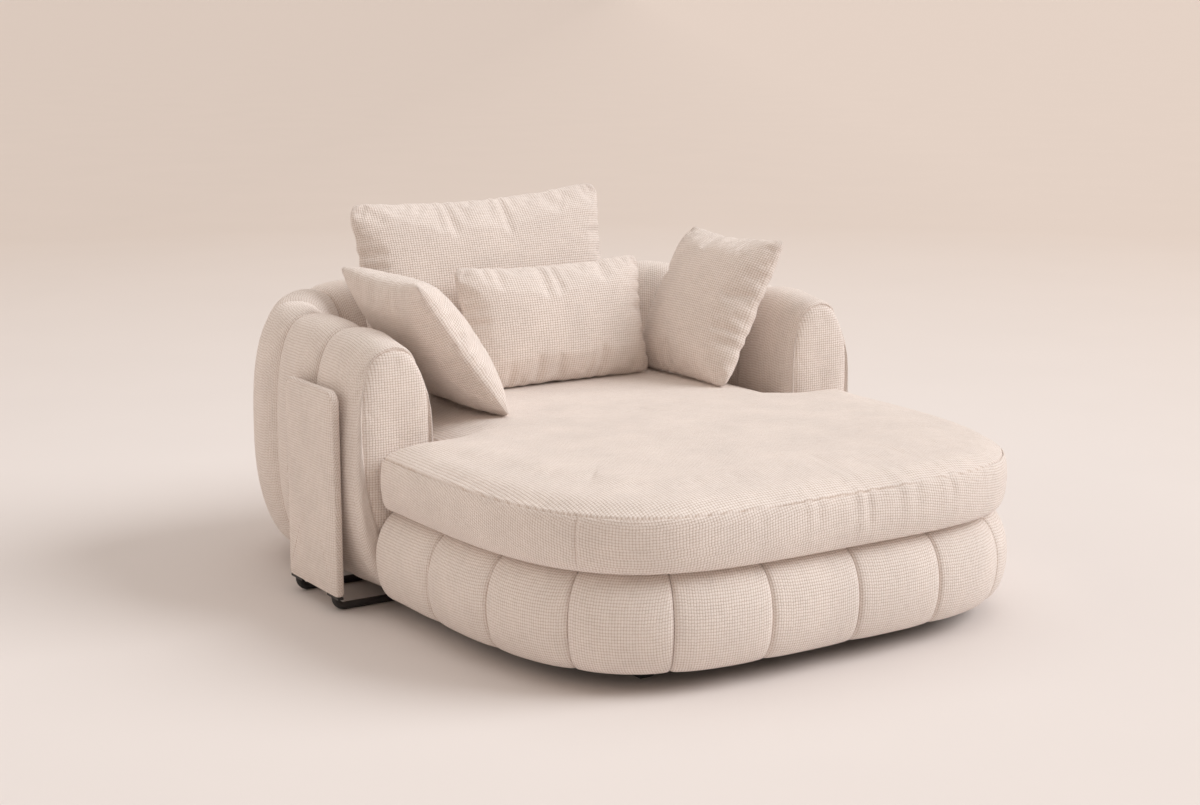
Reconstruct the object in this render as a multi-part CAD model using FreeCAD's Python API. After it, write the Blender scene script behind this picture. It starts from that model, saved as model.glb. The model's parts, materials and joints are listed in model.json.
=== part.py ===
import FreeCAD, Part
import math
import os

Vector = FreeCAD.Vector
Rotation = FreeCAD.Rotation
UP = Vector(0, 0, 1)

# A low round-fronted chaise longue. Sizes are in millimetres. +X is the sitter's left-to-right as seen
# from the front, +Y is the back, +Z is up. The origin is on the floor under the middle of the plan.

# Overall sizes
overall_width = 1668.0          # across the two side panels
overall_depth = 1940.0          # front of the base to the outside of the back
front_reach = 990.0             # front of the base to the front faces of the arms
straight_side = 20.0            # straight stretch of base ahead of each arm

# Arms and back, one padded wall that wraps round the seat
wrap_corner_radius = 400.0      # outside corner in plan, at the seams
wrap_thickness = 220.0          # wall at its fattest height, at the seams
wrap_bottom = 48.0              # underside of the padding
wrap_middle = 370.0             # height at which the wall is fattest
arm_top = 704.0                 # seam height at the arm fronts
back_top = 745.0                # seam height at the middle of the back
wrap_channels = 13              # channels from one arm front round to the other
channel_swell = 14.0            # how far a channel stands proud of its seams
wrap_pad = 45.0                 # padding at the sides and top
wrap_pad_below = 14.0           # padding under the frame
crown_fullness = 2.6            # squareness of the upper half of the wall's section
foot_fullness = 2.2             # squareness of the lower half
arm_panel_depth = 30.0          # arched pad on each arm front
# Share of that depth from the seam forward, with the inset of the pad's outline there
arm_panel_levels = ((0.0, 0.0), (0.6, 3.0), (1.0, 24.0))

# Frame inside the arms and back
rib_thickness = 15.0
rib_gap = 0.9                   # frame to padding
bottom_rail_width = 44.0
bottom_rail_height = 30.0
bottom_rail_z = 84.0
top_rail_width = 60.0
top_rail_height = 24.0
top_rail_drop = 119.0           # seam at the arm fronts to the underside of the rail

# Base
base_half_width = 770.0         # outline at the fattest height
base_roundness = 3.85           # squareness of the front outline
base_channels = 12
base_bottom = 47.0
base_top = 286.0
base_middle = 160.0             # height at which the channels are fattest
base_tuck_above = 60.0          # how far the top edge is drawn in
base_tuck_below = 34.0          # how far the bottom edge is drawn in
base_seam_dip = 5.0             # how far a seam pulls the top and bottom edges in
base_pad = 110.0                # padding from the fattest line to the frame
pad_gap = 0.5                   # padding to frame, and padding to padding
board = 18.0                    # plywood of the base frame
frame_clearance = 6.0           # base frame to the inside of the arms and back
bottom_frame_z = 57.0
top_frame_z = 240.0
upright_depth = 60.0
long_rail_x = 300.0
webbing = 2.0
webbing_width = 70.0
webbing_pitch = 120.0
webbing_hold = 80.0             # webbing on the frame beyond the sides of the rear window
dust_cover = 1.0

# Windows in the base frames and the boards left around them
front_window_half = 400.0
rear_window_half = 440.0
front_window_setback = 280.0    # behind the front of the base
cross_board_half = 60.0         # board left between the windows, each side of the widest line
rear_board = 116.0              # board left behind the rear window

# Seat cushion
cushion_half_width = 750.0
cushion_reach = 956.0           # from the widest line to the front
cushion_roundness = 3.94
cushion_bottom = 290.0
cushion_gap = 3.5               # cushion to arms and back
cushion_bulge = 8.0             # boxing beyond the seams
cushion_cover = 3.0
ear_radius = 30.0
notch_radius = 20.0
rest_gap = 0.3                  # soft piece above what carries it
cushion_seam = 131.0            # height of the boxing, from the underside to the top seam
cushion_crown = 175.0           # height of the middle of the top
# Heights above the cushion's underside, each with the inset of the outline there
boxing_levels = ((0.0, 12.0), (65.0, -cushion_bulge), (cushion_seam, 2.0))
crown_levels = ((cushion_seam, 2.0), (158.0, 28.0), (cushion_crown, 80.0))
cushion_zip_length = 600.0
cushion_zip_height = 62.0       # above the underside
zip_width = 8.0
zip_reach = 32.0                # how far the slit reaches in from the fattest line

# Pillows: width, height, thickness
back_pillow_size = (820.0, 545.0, 165.0)
lumbar_pillow_size = (610.0, 350.0, 130.0)
throw_pillow_size = (455.0, 455.0, 140.0)
pillow_cover = 2.5
pillow_zip_length = 240.0
pillow_zip_width = 3.0
filling_gap = 0.8               # filling to cover
# Share of the half thickness, inset of the corners and inset of the middles of the sides
pillow_levels = ((0.0, 0.0, 22.0), (0.42, 34.0, 27.0), (0.78, 80.0, 48.0), (1.0, 150.0, 95.0))
# Where the middle of each pillow is in plan, and how far it leans from upright
back_pillow_x = -78.0
back_pillow_from_back = 334.0
lumbar_pillow_x = 40.0
lumbar_ahead = 179.0            # in front of the back pillow
left_throw_from_arm = (94.0, 256.0)     # in from the arm and behind its front
right_throw_from_arm = (80.0, 280.0)
back_pillow_lean = 12.0
lumbar_pillow_lean = 12.0
left_throw_lean = 36.0
right_throw_lean = 27.0

# Side panels
panel_thickness = 20.0
panel_gap = 2.0                 # panel to the fattest part of the arm
panel_setback = 66.0            # behind the arm fronts
panel_length = 293.0
panel_bottom = 42.0
panel_height = 543.0
panel_top_radius = 36.0
panel_low_radius = 14.0
panel_edge = 5.0                # rounding of the upholstered edge
panel_core = 10.0
panel_cover = 5.0
mount_board_offset = 35.0       # from the middle of the wall to the board's inner face
mount_board_margin = 40.0       # board beyond its bolts

# Metal runners, feet and fasteners
runner_radius = 10.0
runner_bend = 26.0              # centre line of the bends
runner_setbacks = (39.0, 259.0) # from the panel's front edge
runner_plate = 6.0
runner_plate_length = 66.0
runner_plate_width = 16.0
saddle_inset = 58.0             # in from the sides of the rear part of the base
saddle_width = 36.0
saddle_length = 64.0
saddle_bottom = 14.0
saddle_screw_offset = 22.0
plate_screw_offset = 24.0
foot_top_side = 44.0
foot_low_side = 38.0
front_foot_x = 445.0
front_foot_setback = 230.0      # behind the front of the base
rear_foot_x = 300.0
rear_foot_inset = 61.0          # in from the rear of the base frame
foot_recess = 20.0
bolt_radius = 4.0
bolt_head_radius = 7.0
bolt_head = 5.0
bolt_in_rib = 25.0
bolt_short_of_face = 2.0        # bolt tip to the far face of the side panel's board
bolt_z = 160.0
panel_bolt_offsets = (39.0, 149.0)
panel_bolt_heights = (230.0, 470.0)
screw_radius = 3.0
screw_head_radius = 5.5
screw_head = 4.0
screw_in_board = 13.0
small_screw_radius = 2.2
small_screw_length = 30.0
hole_gap = 0.2

# Places worked out from the sizes
arm_line = front_reach - overall_depth / 2
base_middle_y = arm_line - straight_side
base_reach = front_reach - straight_side
panel_inner = overall_width / 2 - panel_thickness
wrap_half_width = panel_inner - panel_gap - channel_swell
wrap_back = overall_depth / 2 - channel_swell
wrap_front = arm_line + arm_panel_depth
wrap_centre_x = wrap_half_width - wrap_corner_radius
wrap_centre_y = wrap_back - wrap_corner_radius
wrap_inner_half = wrap_half_width - wrap_thickness - channel_swell
wrap_inner_radius = wrap_corner_radius - wrap_thickness - channel_swell
ridge = wrap_thickness / 2
bottom_frame_top = bottom_frame_z + board
top_frame_top = top_frame_z + board
deck_bottom = top_frame_top + 2 * webbing
cushion_top = cushion_bottom + cushion_crown
top_rail_z = arm_top - top_rail_drop
base_side = wrap_inner_half - frame_clearance
base_rear = wrap_centre_y + wrap_inner_radius - frame_clearance
base_front = -overall_depth / 2
front_window = (front_window_half, base_front + front_window_setback, base_middle_y - cross_board_half)
rear_window = (rear_window_half, base_middle_y + cross_board_half, base_rear - rear_board)
panel_front = arm_line + panel_setback
saddle_x = base_side - saddle_inset
feet_places = ((front_foot_x, base_front + front_foot_setback), (rear_foot_x, base_rear - rear_foot_inset))
back_pillow_place = (back_pillow_x, wrap_back - back_pillow_from_back)
lumbar_pillow_place = (lumbar_pillow_x, back_pillow_place[1] - lumbar_ahead)
left_throw_place = (left_throw_from_arm[0] - wrap_inner_half, arm_line + left_throw_from_arm[1])
right_throw_place = (wrap_inner_half - right_throw_from_arm[0], arm_line + right_throw_from_arm[1])
foot_height = bottom_frame_z - dust_cover


def loft(wires):
    """A closed solid through sections."""
    return Part.makeLoft(wires, True, False)


def group(shapes):
    return Part.makeCompound(shapes)


def mirrored(shape):
    """The same piece on the other side of the chaise."""
    return shape.mirror(Vector(0, 0, 0), Vector(1, 0, 0))


def box(low, high):
    size = high - low
    return Part.makeBox(size.x, size.y, size.z, low)


def rod(start, end, radius):
    along = end - start
    return Part.makeCylinder(radius, along.Length, start, along)


def signed_power(value, power):
    return math.copysign(abs(value) ** power, value)


def arcs_through(points, closed):
    """Arcs that each pass through three points of a list in turn."""
    count = len(points)
    last = count if closed else count - 1
    return [Part.Arc(points[i], points[i + 1], points[(i + 2) % count]).toShape()
            for i in range(0, last, 2)]


# Arms and back

wrap_side_length = wrap_centre_y - wrap_front
wrap_corner_length = wrap_corner_radius * math.pi / 2
wrap_length = 2 * (wrap_side_length + wrap_corner_length + wrap_centre_x)


def wrap_station(along):
    """Place on the outer line of the wall and the way out of it, from the left arm front."""
    if along > wrap_length / 2:
        place, out = wrap_station(wrap_length - along)
        return Vector(-place.x, place.y, 0), Vector(-out.x, out.y, 0)
    if along < wrap_side_length:
        return Vector(-wrap_half_width, wrap_front + along, 0), Vector(-1, 0, 0)
    turned = along - wrap_side_length
    if turned < wrap_corner_length:
        angle = math.pi - turned / wrap_corner_radius
        out = Vector(math.cos(angle), math.sin(angle), 0)
        return Vector(-wrap_centre_x, wrap_centre_y, 0) + out * wrap_corner_radius, out
    across = turned - wrap_corner_length - wrap_centre_x
    return Vector(across, wrap_back, 0), Vector(0, 1, 0)


def wrap_height(along):
    """Seam height, which rises gently from the arm fronts to the back."""
    share = min(along, wrap_length - along) / (wrap_length / 2)
    return arm_top + (back_top - arm_top) * share * share * (3 - 2 * share)


def oval_wire(centre, out, half_width, top, bottom):
    """Upright section of the wall: a full rounded crown over a slimmer rounded foot."""
    points = []
    for step in range(16):
        angle = math.radians(22.5 * step)
        rise, fullness = (top - wrap_middle, crown_fullness)
        if step > 8:
            rise, fullness = (wrap_middle - bottom, foot_fullness)
        across = half_width * signed_power(math.cos(angle), 2 / fullness)
        height = wrap_middle + rise * signed_power(math.sin(angle), 2 / fullness)
        points.append(centre + out * across + UP * height)
    return Part.Wire(arcs_through(points, True))


def wrap_section(along, swell):
    place, out = wrap_station(along)
    return oval_wire(place - out * ridge, out, ridge + swell, wrap_height(along) + swell, wrap_bottom)


def wrap_hollow(along, gap):
    """Section of the space that the frame fills."""
    place, out = wrap_station(along)
    return oval_wire(place - out * ridge, out, ridge - wrap_pad - gap,
                     wrap_height(along) - wrap_pad - gap, wrap_bottom + wrap_pad_below + gap)


seams = [wrap_length * i / wrap_channels for i in range(wrap_channels + 1)]


def wrap_channel(first, last):
    """One padded channel, hollow for the frame."""
    stations = (first, (first + last) / 2, last)
    outside = loft([wrap_section(s, swell) for s, swell in zip(stations, (0, channel_swell, 0))])
    inside = loft([wrap_hollow(s, 0) for s in stations])
    return outside.cut(inside)


def arm_front_panel():
    """Arched pad on the front of the left arm."""
    sections = []
    for share, inset in arm_panel_levels:
        place, out = wrap_station(0)
        centre = place - out * ridge - Vector(0, arm_panel_depth * share, 0)
        sections.append(oval_wire(centre, out, ridge - inset, arm_top - inset, wrap_bottom + inset))
    return loft(sections)


def wrap_rail(width, bottom, height):
    """Horseshoe rail that follows the middle of the wall."""
    edges = []
    corners = []
    for offset in (ridge - width / 2, ridge + width / 2):
        half = wrap_half_width - offset
        back = wrap_back - offset
        radius = wrap_corner_radius - offset
        bend = radius * math.sqrt(0.5)
        left_arc = Vector(-wrap_centre_x - bend, wrap_centre_y + bend, 0)
        points = [Vector(-half, wrap_front, 0), Vector(-half, wrap_centre_y, 0),
                  Vector(-wrap_centre_x, back, 0)]
        other = [Vector(-p.x, p.y, 0) for p in reversed(points)]
        edges += [Part.makeLine(points[0], points[1]),
                  Part.Arc(points[1], left_arc, points[2]).toShape(),
                  Part.makeLine(points[2], other[0]),
                  Part.Arc(other[0], Vector(-left_arc.x, left_arc.y, 0), other[1]).toShape(),
                  Part.makeLine(other[1], other[2])]
        corners.append((points[0], other[2]))
    edges += [Part.makeLine(corners[0][0], corners[1][0]), Part.makeLine(corners[0][1], corners[1][1])]
    face = Part.Face(Part.Wire(Part.__sortEdges__(edges)))
    face.translate(UP * bottom)
    return face.extrude(UP * height)


def rib_plate(index):
    """Plywood former at one seam, before the rails part it."""
    place, out = wrap_station(seams[index])
    forward = Vector(-out.y, out.x, 0)
    start = -rib_thickness / 2
    if index == 0:
        start = -rib_thickness
    if index == wrap_channels:
        start = 0
    face = Part.Face(wrap_hollow(seams[index], rib_gap))
    face.translate(forward * start)
    return face.extrude(forward * rib_thickness)


def between(shape, low, high):
    """The part of a shape between two heights."""
    bounds = shape.BoundBox
    cutter = box(Vector(bounds.XMin - 1, bounds.YMin - 1, low),
                 Vector(bounds.XMax + 1, bounds.YMax + 1, high))
    return shape.common(cutter)


def side_mount_board():
    """Board inside the left arm that takes the side panel's bolts."""
    outer = wrap_half_width - ridge + mount_board_offset
    front = wrap_front + rib_thickness
    rear = wrap_front + seams[1] - rib_thickness / 2
    low, high = panel_bolt_heights
    return box(Vector(-outer - rib_thickness, front, low - mount_board_margin),
               Vector(-outer, rear, high + mount_board_margin))


# Base

def base_points():
    """Close points of the base's outline from the left arm round the front to the right arm."""
    steps = 1440
    points = [Vector(-base_half_width, arm_line - pad_gap, 0)]
    for step in range(steps + 1):
        angle = math.pi * step / steps
        x = -base_half_width * signed_power(math.cos(angle), 2 / base_roundness)
        y = base_middle_y - base_reach * math.sin(angle) ** (2 / base_roundness)
        points.append(Vector(x, y, 0))
    points.append(Vector(base_half_width, arm_line - pad_gap, 0))
    return points


outline = base_points()
outline_length = [0.0]
for first_point, next_point in zip(outline, outline[1:]):
    outline_length.append(outline_length[-1] + (next_point - first_point).Length)


def base_place(share):
    """Place at a share of the outline's length."""
    wanted = share * outline_length[-1]
    index = next((i for i, reached in enumerate(outline_length) if reached >= wanted), len(outline) - 1)
    index = max(index, 1)
    stretch = outline_length[index] - outline_length[index - 1]
    part = (wanted - outline_length[index - 1]) / stretch
    return outline[index - 1] + (outline[index] - outline[index - 1]) * part


def base_station(share):
    """Place on the base's outline and the way out of it."""
    reach = 0.002
    along = base_place(min(share + reach, 1)) - base_place(max(share - reach, 0))
    along.normalize()
    out = Vector(along.y, -along.x, 0)
    if share in (0, 1):
        out = Vector(2 * share - 1, 0, 0)
    return base_place(share), out


def base_section(share, seam):
    """Upright section of the base padding, drawn in where it is a seam."""
    place, out = base_station(share)
    dip = channel_swell if seam else 0.0
    top = base_top - (base_seam_dip if seam else 0.0)
    bottom = base_bottom + (base_seam_dip if seam else 0.0)
    root = math.sqrt(0.5)

    def at(across, height):
        return place + out * across + UP * height

    inner_low, inner_high = at(-base_pad, bottom), at(-base_pad, top)
    low, high = at(-base_tuck_below - dip, bottom), at(-base_tuck_above - dip, top)
    fat = at(-dip, base_middle)
    low_bend = at(-dip - base_tuck_below * (1 - root), base_middle - (base_middle - bottom) * root)
    high_bend = at(-dip - base_tuck_above * (1 - root), base_middle + (top - base_middle) * root)
    return Part.Wire([Part.makeLine(inner_low, low),
                      Part.Arc(low, low_bend, fat).toShape(),
                      Part.Arc(fat, high_bend, high).toShape(),
                      Part.makeLine(high, inner_high),
                      Part.makeLine(inner_high, inner_low)])


def base_channel(index):
    shares = [(index + step) / base_channels for step in (0, 0.5, 1)]
    return loft([base_section(share, seam) for share, seam in zip(shares, (True, False, True))])


def deck_outline(shrink):
    """Plan of the base inside its padding: round in front, and between the arms behind."""
    inset = base_pad + pad_gap + shrink
    half = wrap_inner_half - frame_clearance - shrink
    radius = wrap_inner_radius - frame_clearance - shrink
    points = []
    for step in range(2 * base_channels + 1):
        place, out = base_station(step / (2 * base_channels))
        points.append(place - out * inset)
    edges = arcs_through(points, False)
    turn = radius * math.sqrt(0.5)
    step_in = Vector(half, points[-1].y, 0)
    side = Vector(half, wrap_centre_y, 0)
    bend = Vector(wrap_centre_x + turn, wrap_centre_y + turn, 0)
    rear = Vector(wrap_centre_x, wrap_centre_y + radius, 0)

    def flip(point):
        return Vector(-point.x, point.y, 0)

    edges += [Part.makeLine(points[-1], step_in),
              Part.makeLine(step_in, side),
              Part.Arc(side, bend, rear).toShape(),
              Part.makeLine(rear, flip(rear)),
              Part.Arc(flip(rear), flip(bend), flip(side)).toShape(),
              Part.makeLine(flip(side), flip(step_in)),
              Part.makeLine(flip(step_in), points[0])]
    return Part.Wire(edges)


def deck_slab(bottom, height, shrink=0.0):
    face = Part.Face(deck_outline(shrink))
    face.translate(UP * bottom)
    return face.extrude(UP * height)


def base_frame(bottom):
    """Plywood frame with two windows."""
    frame = deck_slab(bottom, board)
    for half, front, rear in (front_window, rear_window):
        frame = frame.cut(box(Vector(-half, front, bottom), Vector(half, rear, bottom + board)))
    return frame


def base_uprights():
    """Blocks between the two frames, one behind each seam of the base."""
    height = top_frame_z - bottom_frame_top
    blocks = []
    for index in range(1, base_channels):
        place, out = base_station(index / base_channels)
        block = Part.makeBox(upright_depth, board, height, Vector(-upright_depth, -board / 2, 0))
        block.Placement = FreeCAD.Placement(place - out * (base_pad + pad_gap) + UP * bottom_frame_top,
                                            Rotation(Vector(1, 0, 0), out))
        blocks.append(block)
    return blocks


def base_rails():
    """Side rails, rear rail and two long rails between the two frames."""
    low, high = bottom_frame_top, top_frame_z
    side = box(Vector(-base_side, arm_line + board, low),
               Vector(-base_side + board, wrap_centre_y, high))
    rear = box(Vector(-wrap_centre_x, base_rear - board, low), Vector(wrap_centre_x, base_rear, high))
    long_front = front_window[1] - 2 * board
    long_rail = box(Vector(-long_rail_x - board / 2, long_front, low),
                    Vector(-long_rail_x + board / 2, base_rear - board, high))
    return [side, mirrored(side), rear, long_rail, mirrored(long_rail)]


def strap_places(first, last):
    count = int((last - first) // webbing_pitch)
    start = (first + last - count * webbing_pitch) / 2
    return [start + webbing_pitch * i for i in range(count + 1)]


def long_webbing():
    """Straps that run from front to back over the top frame."""
    half, front, _ = front_window
    rear = rear_window[2]
    return [box(Vector(x - webbing_width / 2, front - webbing_width, top_frame_top),
                Vector(x + webbing_width / 2, rear + webbing_width, top_frame_top + webbing))
            for x in strap_places(-half + webbing_width / 2, half - webbing_width / 2)]


def cross_webbing():
    """Straps that run from side to side over the long ones."""
    low = top_frame_top + webbing
    half = rear_window_half + webbing_hold
    return [box(Vector(-half, y - webbing_width / 2, low),
                Vector(half, y + webbing_width / 2, low + webbing))
            for y in strap_places(front_window[1] + webbing_width / 2, rear_window[2] - webbing_width / 2)]


# Side panels

def panel_block(inset, thickness, inner):
    """Upright slab on the left side, its upper corners rounder than its lower ones."""
    front, rear = panel_front + inset, panel_front + panel_length - inset
    low, high = panel_bottom + inset, panel_bottom + panel_height - inset
    block = box(Vector(-inner - thickness, front, low), Vector(-inner, rear, high))
    along_x = [e for e in block.Edges if abs(e.tangentAt(e.FirstParameter).x) > 0.9]
    tops = [e for e in along_x if e.CenterOfMass.z > wrap_middle]
    low_places = [e.CenterOfMass for e in along_x if e.CenterOfMass.z < wrap_middle]
    block = block.makeFillet(panel_top_radius - inset, tops)
    lows = [e for e in block.Edges for place in low_places if (e.CenterOfMass - place).Length < 0.01]
    return block.makeFillet(panel_low_radius - inset, lows)


def panel_outside():
    """Upholstered panel with soft edges."""
    block = panel_block(0.0, panel_thickness, panel_inner)
    rims = [e for e in block.Edges if e.BoundBox.XLength < 0.01]
    return block.makeFillet(panel_edge, rims)


def panel_board():
    return panel_block(panel_cover, panel_core, panel_inner + (panel_thickness - panel_core) / 2)


# Fasteners, runners and feet

panel_middle_x = panel_inner + panel_thickness / 2
mount_face = wrap_half_width - ridge + mount_board_offset
runner_places = [panel_front + setback for setback in runner_setbacks]


def headed_bolt(head_end, tip, extra=0.0):
    """Bolt from the underside of its head to its tip, or its hole if extra is given."""
    along = tip - head_end
    along.normalize()
    shank = rod(head_end, tip, bolt_radius + extra)
    head = rod(head_end - along * bolt_head, head_end, bolt_head_radius + extra)
    return shank.fuse(head)


def panel_bolts(extra=0.0):
    """Bolts from inside the left arm into the side panel's board."""
    tip_x = panel_middle_x + panel_core / 2 - bolt_short_of_face
    return [headed_bolt(Vector(-mount_face, panel_front + y, z), Vector(-tip_x, panel_front + y, z), extra)
            for y in panel_bolt_offsets for z in panel_bolt_heights]


def hollow_half_width(height):
    """Half width of the frame's space at a height below the fattest."""
    rise = wrap_middle - wrap_bottom - wrap_pad_below
    share = (wrap_middle - height) / rise
    return (ridge - wrap_pad) * (1 - share ** foot_fullness) ** (1 / foot_fullness)


def frame_bolts(extra=0.0):
    """Bolts from the base's rails into the ribs of the arms and back."""
    reach = ridge + hollow_half_width(bolt_z) - bolt_in_rib
    bolts = []
    for index in (1, 2):
        y = wrap_station(seams[index])[0].y
        left = headed_bolt(Vector(-base_side + board, y, bolt_z),
                           Vector(-wrap_half_width + reach, y, bolt_z), extra)
        bolts += [left, mirrored(left)]
    middle_rib = wrap_channels // 2
    x = wrap_station(seams[middle_rib])[0].x
    rear = headed_bolt(Vector(x, base_rear - board, bolt_z), Vector(x, wrap_back - reach, bolt_z), extra)
    return bolts + [rear, mirrored(rear)]


def runner(y):
    """Bent round bar under the chaise with a plate at each end under the side panels."""
    top = panel_bottom - runner_plate
    centre_z = top - runner_bend
    bend_x = panel_middle_x - runner_bend
    corner = runner_bend * math.sqrt(0.5)
    start = Vector(-panel_middle_x, y, top)
    left = Vector(-bend_x, y, centre_z)
    left_mid = Vector(-bend_x - corner, y, top - corner)
    right = Vector(bend_x, y, centre_z)
    right_mid = Vector(bend_x + corner, y, top - corner)
    end = Vector(panel_middle_x, y, top)
    path = Part.Wire([Part.Arc(start, left_mid, left).toShape(),
                      Part.makeLine(left, right),
                      Part.Arc(right, right_mid, end).toShape()])
    profile = Part.Wire(Part.makeCircle(runner_radius, start, UP))
    bar = path.makePipeShell([profile], True, False)
    plate = box(Vector(-panel_middle_x - runner_plate_width / 2, y - runner_plate_length / 2, top),
                Vector(-panel_middle_x + runner_plate_width / 2, y + runner_plate_length / 2, panel_bottom))
    return bar.fuse([plate, mirrored(plate)])


def plate_screws(extra=0.0):
    """Screws up through the left end plates into the side panel."""
    low = panel_bottom - runner_plate
    return [rod(Vector(-panel_middle_x, y + side, low),
                Vector(-panel_middle_x, y + side, low + small_screw_length), small_screw_radius + extra)
            for y in runner_places for side in (-plate_screw_offset, plate_screw_offset)]


def saddle(y):
    """Block that carries the left of the base frame on a runner."""
    block = box(Vector(-saddle_x - saddle_width / 2, y - saddle_length / 2, saddle_bottom),
                Vector(-saddle_x + saddle_width / 2, y + saddle_length / 2, foot_height))
    groove = rod(Vector(-saddle_x - saddle_width, y, runner_radius),
                 Vector(-saddle_x + saddle_width, y, runner_radius), runner_radius + hole_gap / 4)
    return block.cut(groove)


def headed_screw(place, low, high, extra=0.0):
    """Screw driven up from below, or its hole."""
    shank = rod(place + UP * low, place + UP * high, screw_radius + extra)
    head = rod(place + UP * low, place + UP * (low + screw_head), screw_head_radius + extra)
    return shank.fuse(head)


def saddle_screws(extra=0.0):
    high = bottom_frame_z + screw_in_board
    return [headed_screw(Vector(x, y + side, 0), saddle_bottom, high, extra)
            for x in (-saddle_x, saddle_x) for y in runner_places
            for side in (-saddle_screw_offset, saddle_screw_offset)]


def foot_screws(extra=0.0):
    high = bottom_frame_z + screw_in_board
    return [headed_screw(Vector(side * x, y, 0), foot_recess, high, extra)
            for x, y in feet_places for side in (-1, 1)]


def square_wire(x, y, side, height):
    half = side / 2
    corners = [Vector(x - half, y - half, height), Vector(x + half, y - half, height),
               Vector(x + half, y + half, height), Vector(x - half, y + half, height)]
    return Part.makePolygon(corners + corners[:1])


def foot(x, y):
    """Block foot that narrows to the floor, with a recess for its screw."""
    ends = [square_wire(x, y, foot_low_side, 0), square_wire(x, y, foot_top_side, foot_height)]
    block = Part.makeLoft(ends, True, True)
    recess = rod(Vector(x, y, 0), Vector(x, y, foot_recess), screw_head_radius + hole_gap)
    return block.cut(recess)


# Seat cushion

def cushion_front(inset):
    """Points of the cushion's rounded front, from its right side round to its left."""
    power = cushion_roundness
    points = []
    for step in range(17):
        angle = math.radians(11.25 * step)
        across = signed_power(math.cos(angle), 2 / power)
        ahead = math.sin(angle) ** (2 / power)
        out = Vector(signed_power(across, power - 1) / cushion_half_width,
                     -ahead ** (power - 1) / cushion_reach, 0)
        out.normalize()
        place = Vector(cushion_half_width * across, base_middle_y - cushion_reach * ahead, 0)
        points.append(place - out * inset)
    return points


def cushion_wire(inset, height):
    """Plan of the cushion: the rounded front, an ear before each arm, and the part between the arms."""
    room = cushion_gap + cushion_bulge + inset
    front = cushion_front(inset)
    ear_y = arm_line - room
    half = wrap_inner_half - room
    radius = wrap_inner_radius - room
    side_x = cushion_half_width - inset
    root = math.sqrt(0.5)
    ear_bend = ear_radius * (1 - root)
    notch_bend = notch_radius * (1 - root)

    def corner_points(sign):
        ear = [Vector(side_x, ear_y - ear_radius, 0), Vector(side_x - ear_bend, ear_y - ear_bend, 0),
               Vector(side_x - ear_radius, ear_y, 0)]
        notch = [Vector(half + notch_radius, ear_y, 0), Vector(half + notch_bend, ear_y + notch_bend, 0),
                 Vector(half, ear_y + notch_radius, 0)]
        rear = [Vector(half, wrap_centre_y, 0),
                Vector(wrap_centre_x + radius * root, wrap_centre_y + radius * root, 0),
                Vector(wrap_centre_x, wrap_centre_y + radius, 0)]
        return [[Vector(sign * p.x, p.y, 0) for p in points] for points in (ear, notch, rear)]

    def joined(start, bends):
        edges = []
        for bend in bends:
            edges += [Part.makeLine(start, bend[0]), Part.Arc(*bend).toShape()]
            start = bend[2]
        return edges

    left = joined(front[-1], corner_points(-1))
    right_bends = [list(reversed(bend)) for bend in reversed(corner_points(1))]
    right = joined(corner_points(-1)[2][2], right_bends)
    closing = Part.makeLine(right_bends[-1][2], front[0])
    wire = Part.Wire(arcs_through(front, False) + left + right + [closing])
    wire.translate(UP * height)
    return wire


def cushion_solid(skin):
    """The crowned cushion, or its filling when the cover's thickness is taken off."""
    lifts = {0.0: skin, cushion_crown: -skin}
    halves = []
    for levels in (boxing_levels, crown_levels):
        halves.append(loft([cushion_wire(inset + skin, cushion_bottom + height + lifts.get(height, 0.0))
                            for height, inset in levels]))
    return halves[0].fuse(halves[1]).removeSplitter()


def zipped_cover(outside, inside, slit_low, slit_high):
    """Cover with a slit for its zip, and the closed zip that fills the slit."""
    shells = Part.makeCompound([outside.Shells[0], inside.Shells[0].reversed()])
    skin = Part.makeSolid(shells)
    play = Vector(hole_gap, hole_gap, hole_gap)
    cover = skin.cut(box(slit_low, slit_high))
    return cover, skin.common(box(slit_low + play, slit_high - play))


def seat_cushion():
    """Cover, zip and filling of the seat cushion."""
    half = cushion_zip_length / 2
    low = cushion_bottom + cushion_zip_height - zip_width / 2
    rear = wrap_centre_y + wrap_inner_radius
    slit_low = Vector(-half, rear - zip_reach, low)
    slit_high = Vector(half, rear, low + zip_width)
    cover, closure = zipped_cover(cushion_solid(0.0), cushion_solid(cushion_cover), slit_low, slit_high)
    return cover, closure, cushion_solid(cushion_cover + filling_gap)


# Pillows

def pillow_wire(width, height, corner, middle, depth):
    """Outline of a pillow at one depth: four arcs from corner to corner."""
    corners = [Vector(sx * (width / 2 - corner), -depth, sz * (height / 2 - corner))
               for sx, sz in ((1, 1), (-1, 1), (-1, -1), (1, -1))]
    middles = [Vector(0, -depth, height / 2 - middle), Vector(-width / 2 + middle, -depth, 0),
               Vector(0, -depth, -height / 2 + middle), Vector(width / 2 - middle, -depth, 0)]
    arcs = [Part.Arc(corners[i], middles[i], corners[(i + 1) % 4]).toShape() for i in range(4)]
    return Part.Wire(arcs)


def pillow_solid(size, skin):
    """Knife-edge pillow that faces -Y, plump in the middle and drawn in between its corners."""
    width, height, thickness = [length - 2 * skin for length in size]
    halves = []
    for face in (1, -1):
        halves.append(loft([pillow_wire(width, height, corner, middle, face * share * thickness / 2)
                            for share, corner, middle in pillow_levels]))
    return halves[0].fuse(halves[1]).removeSplitter()


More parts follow.
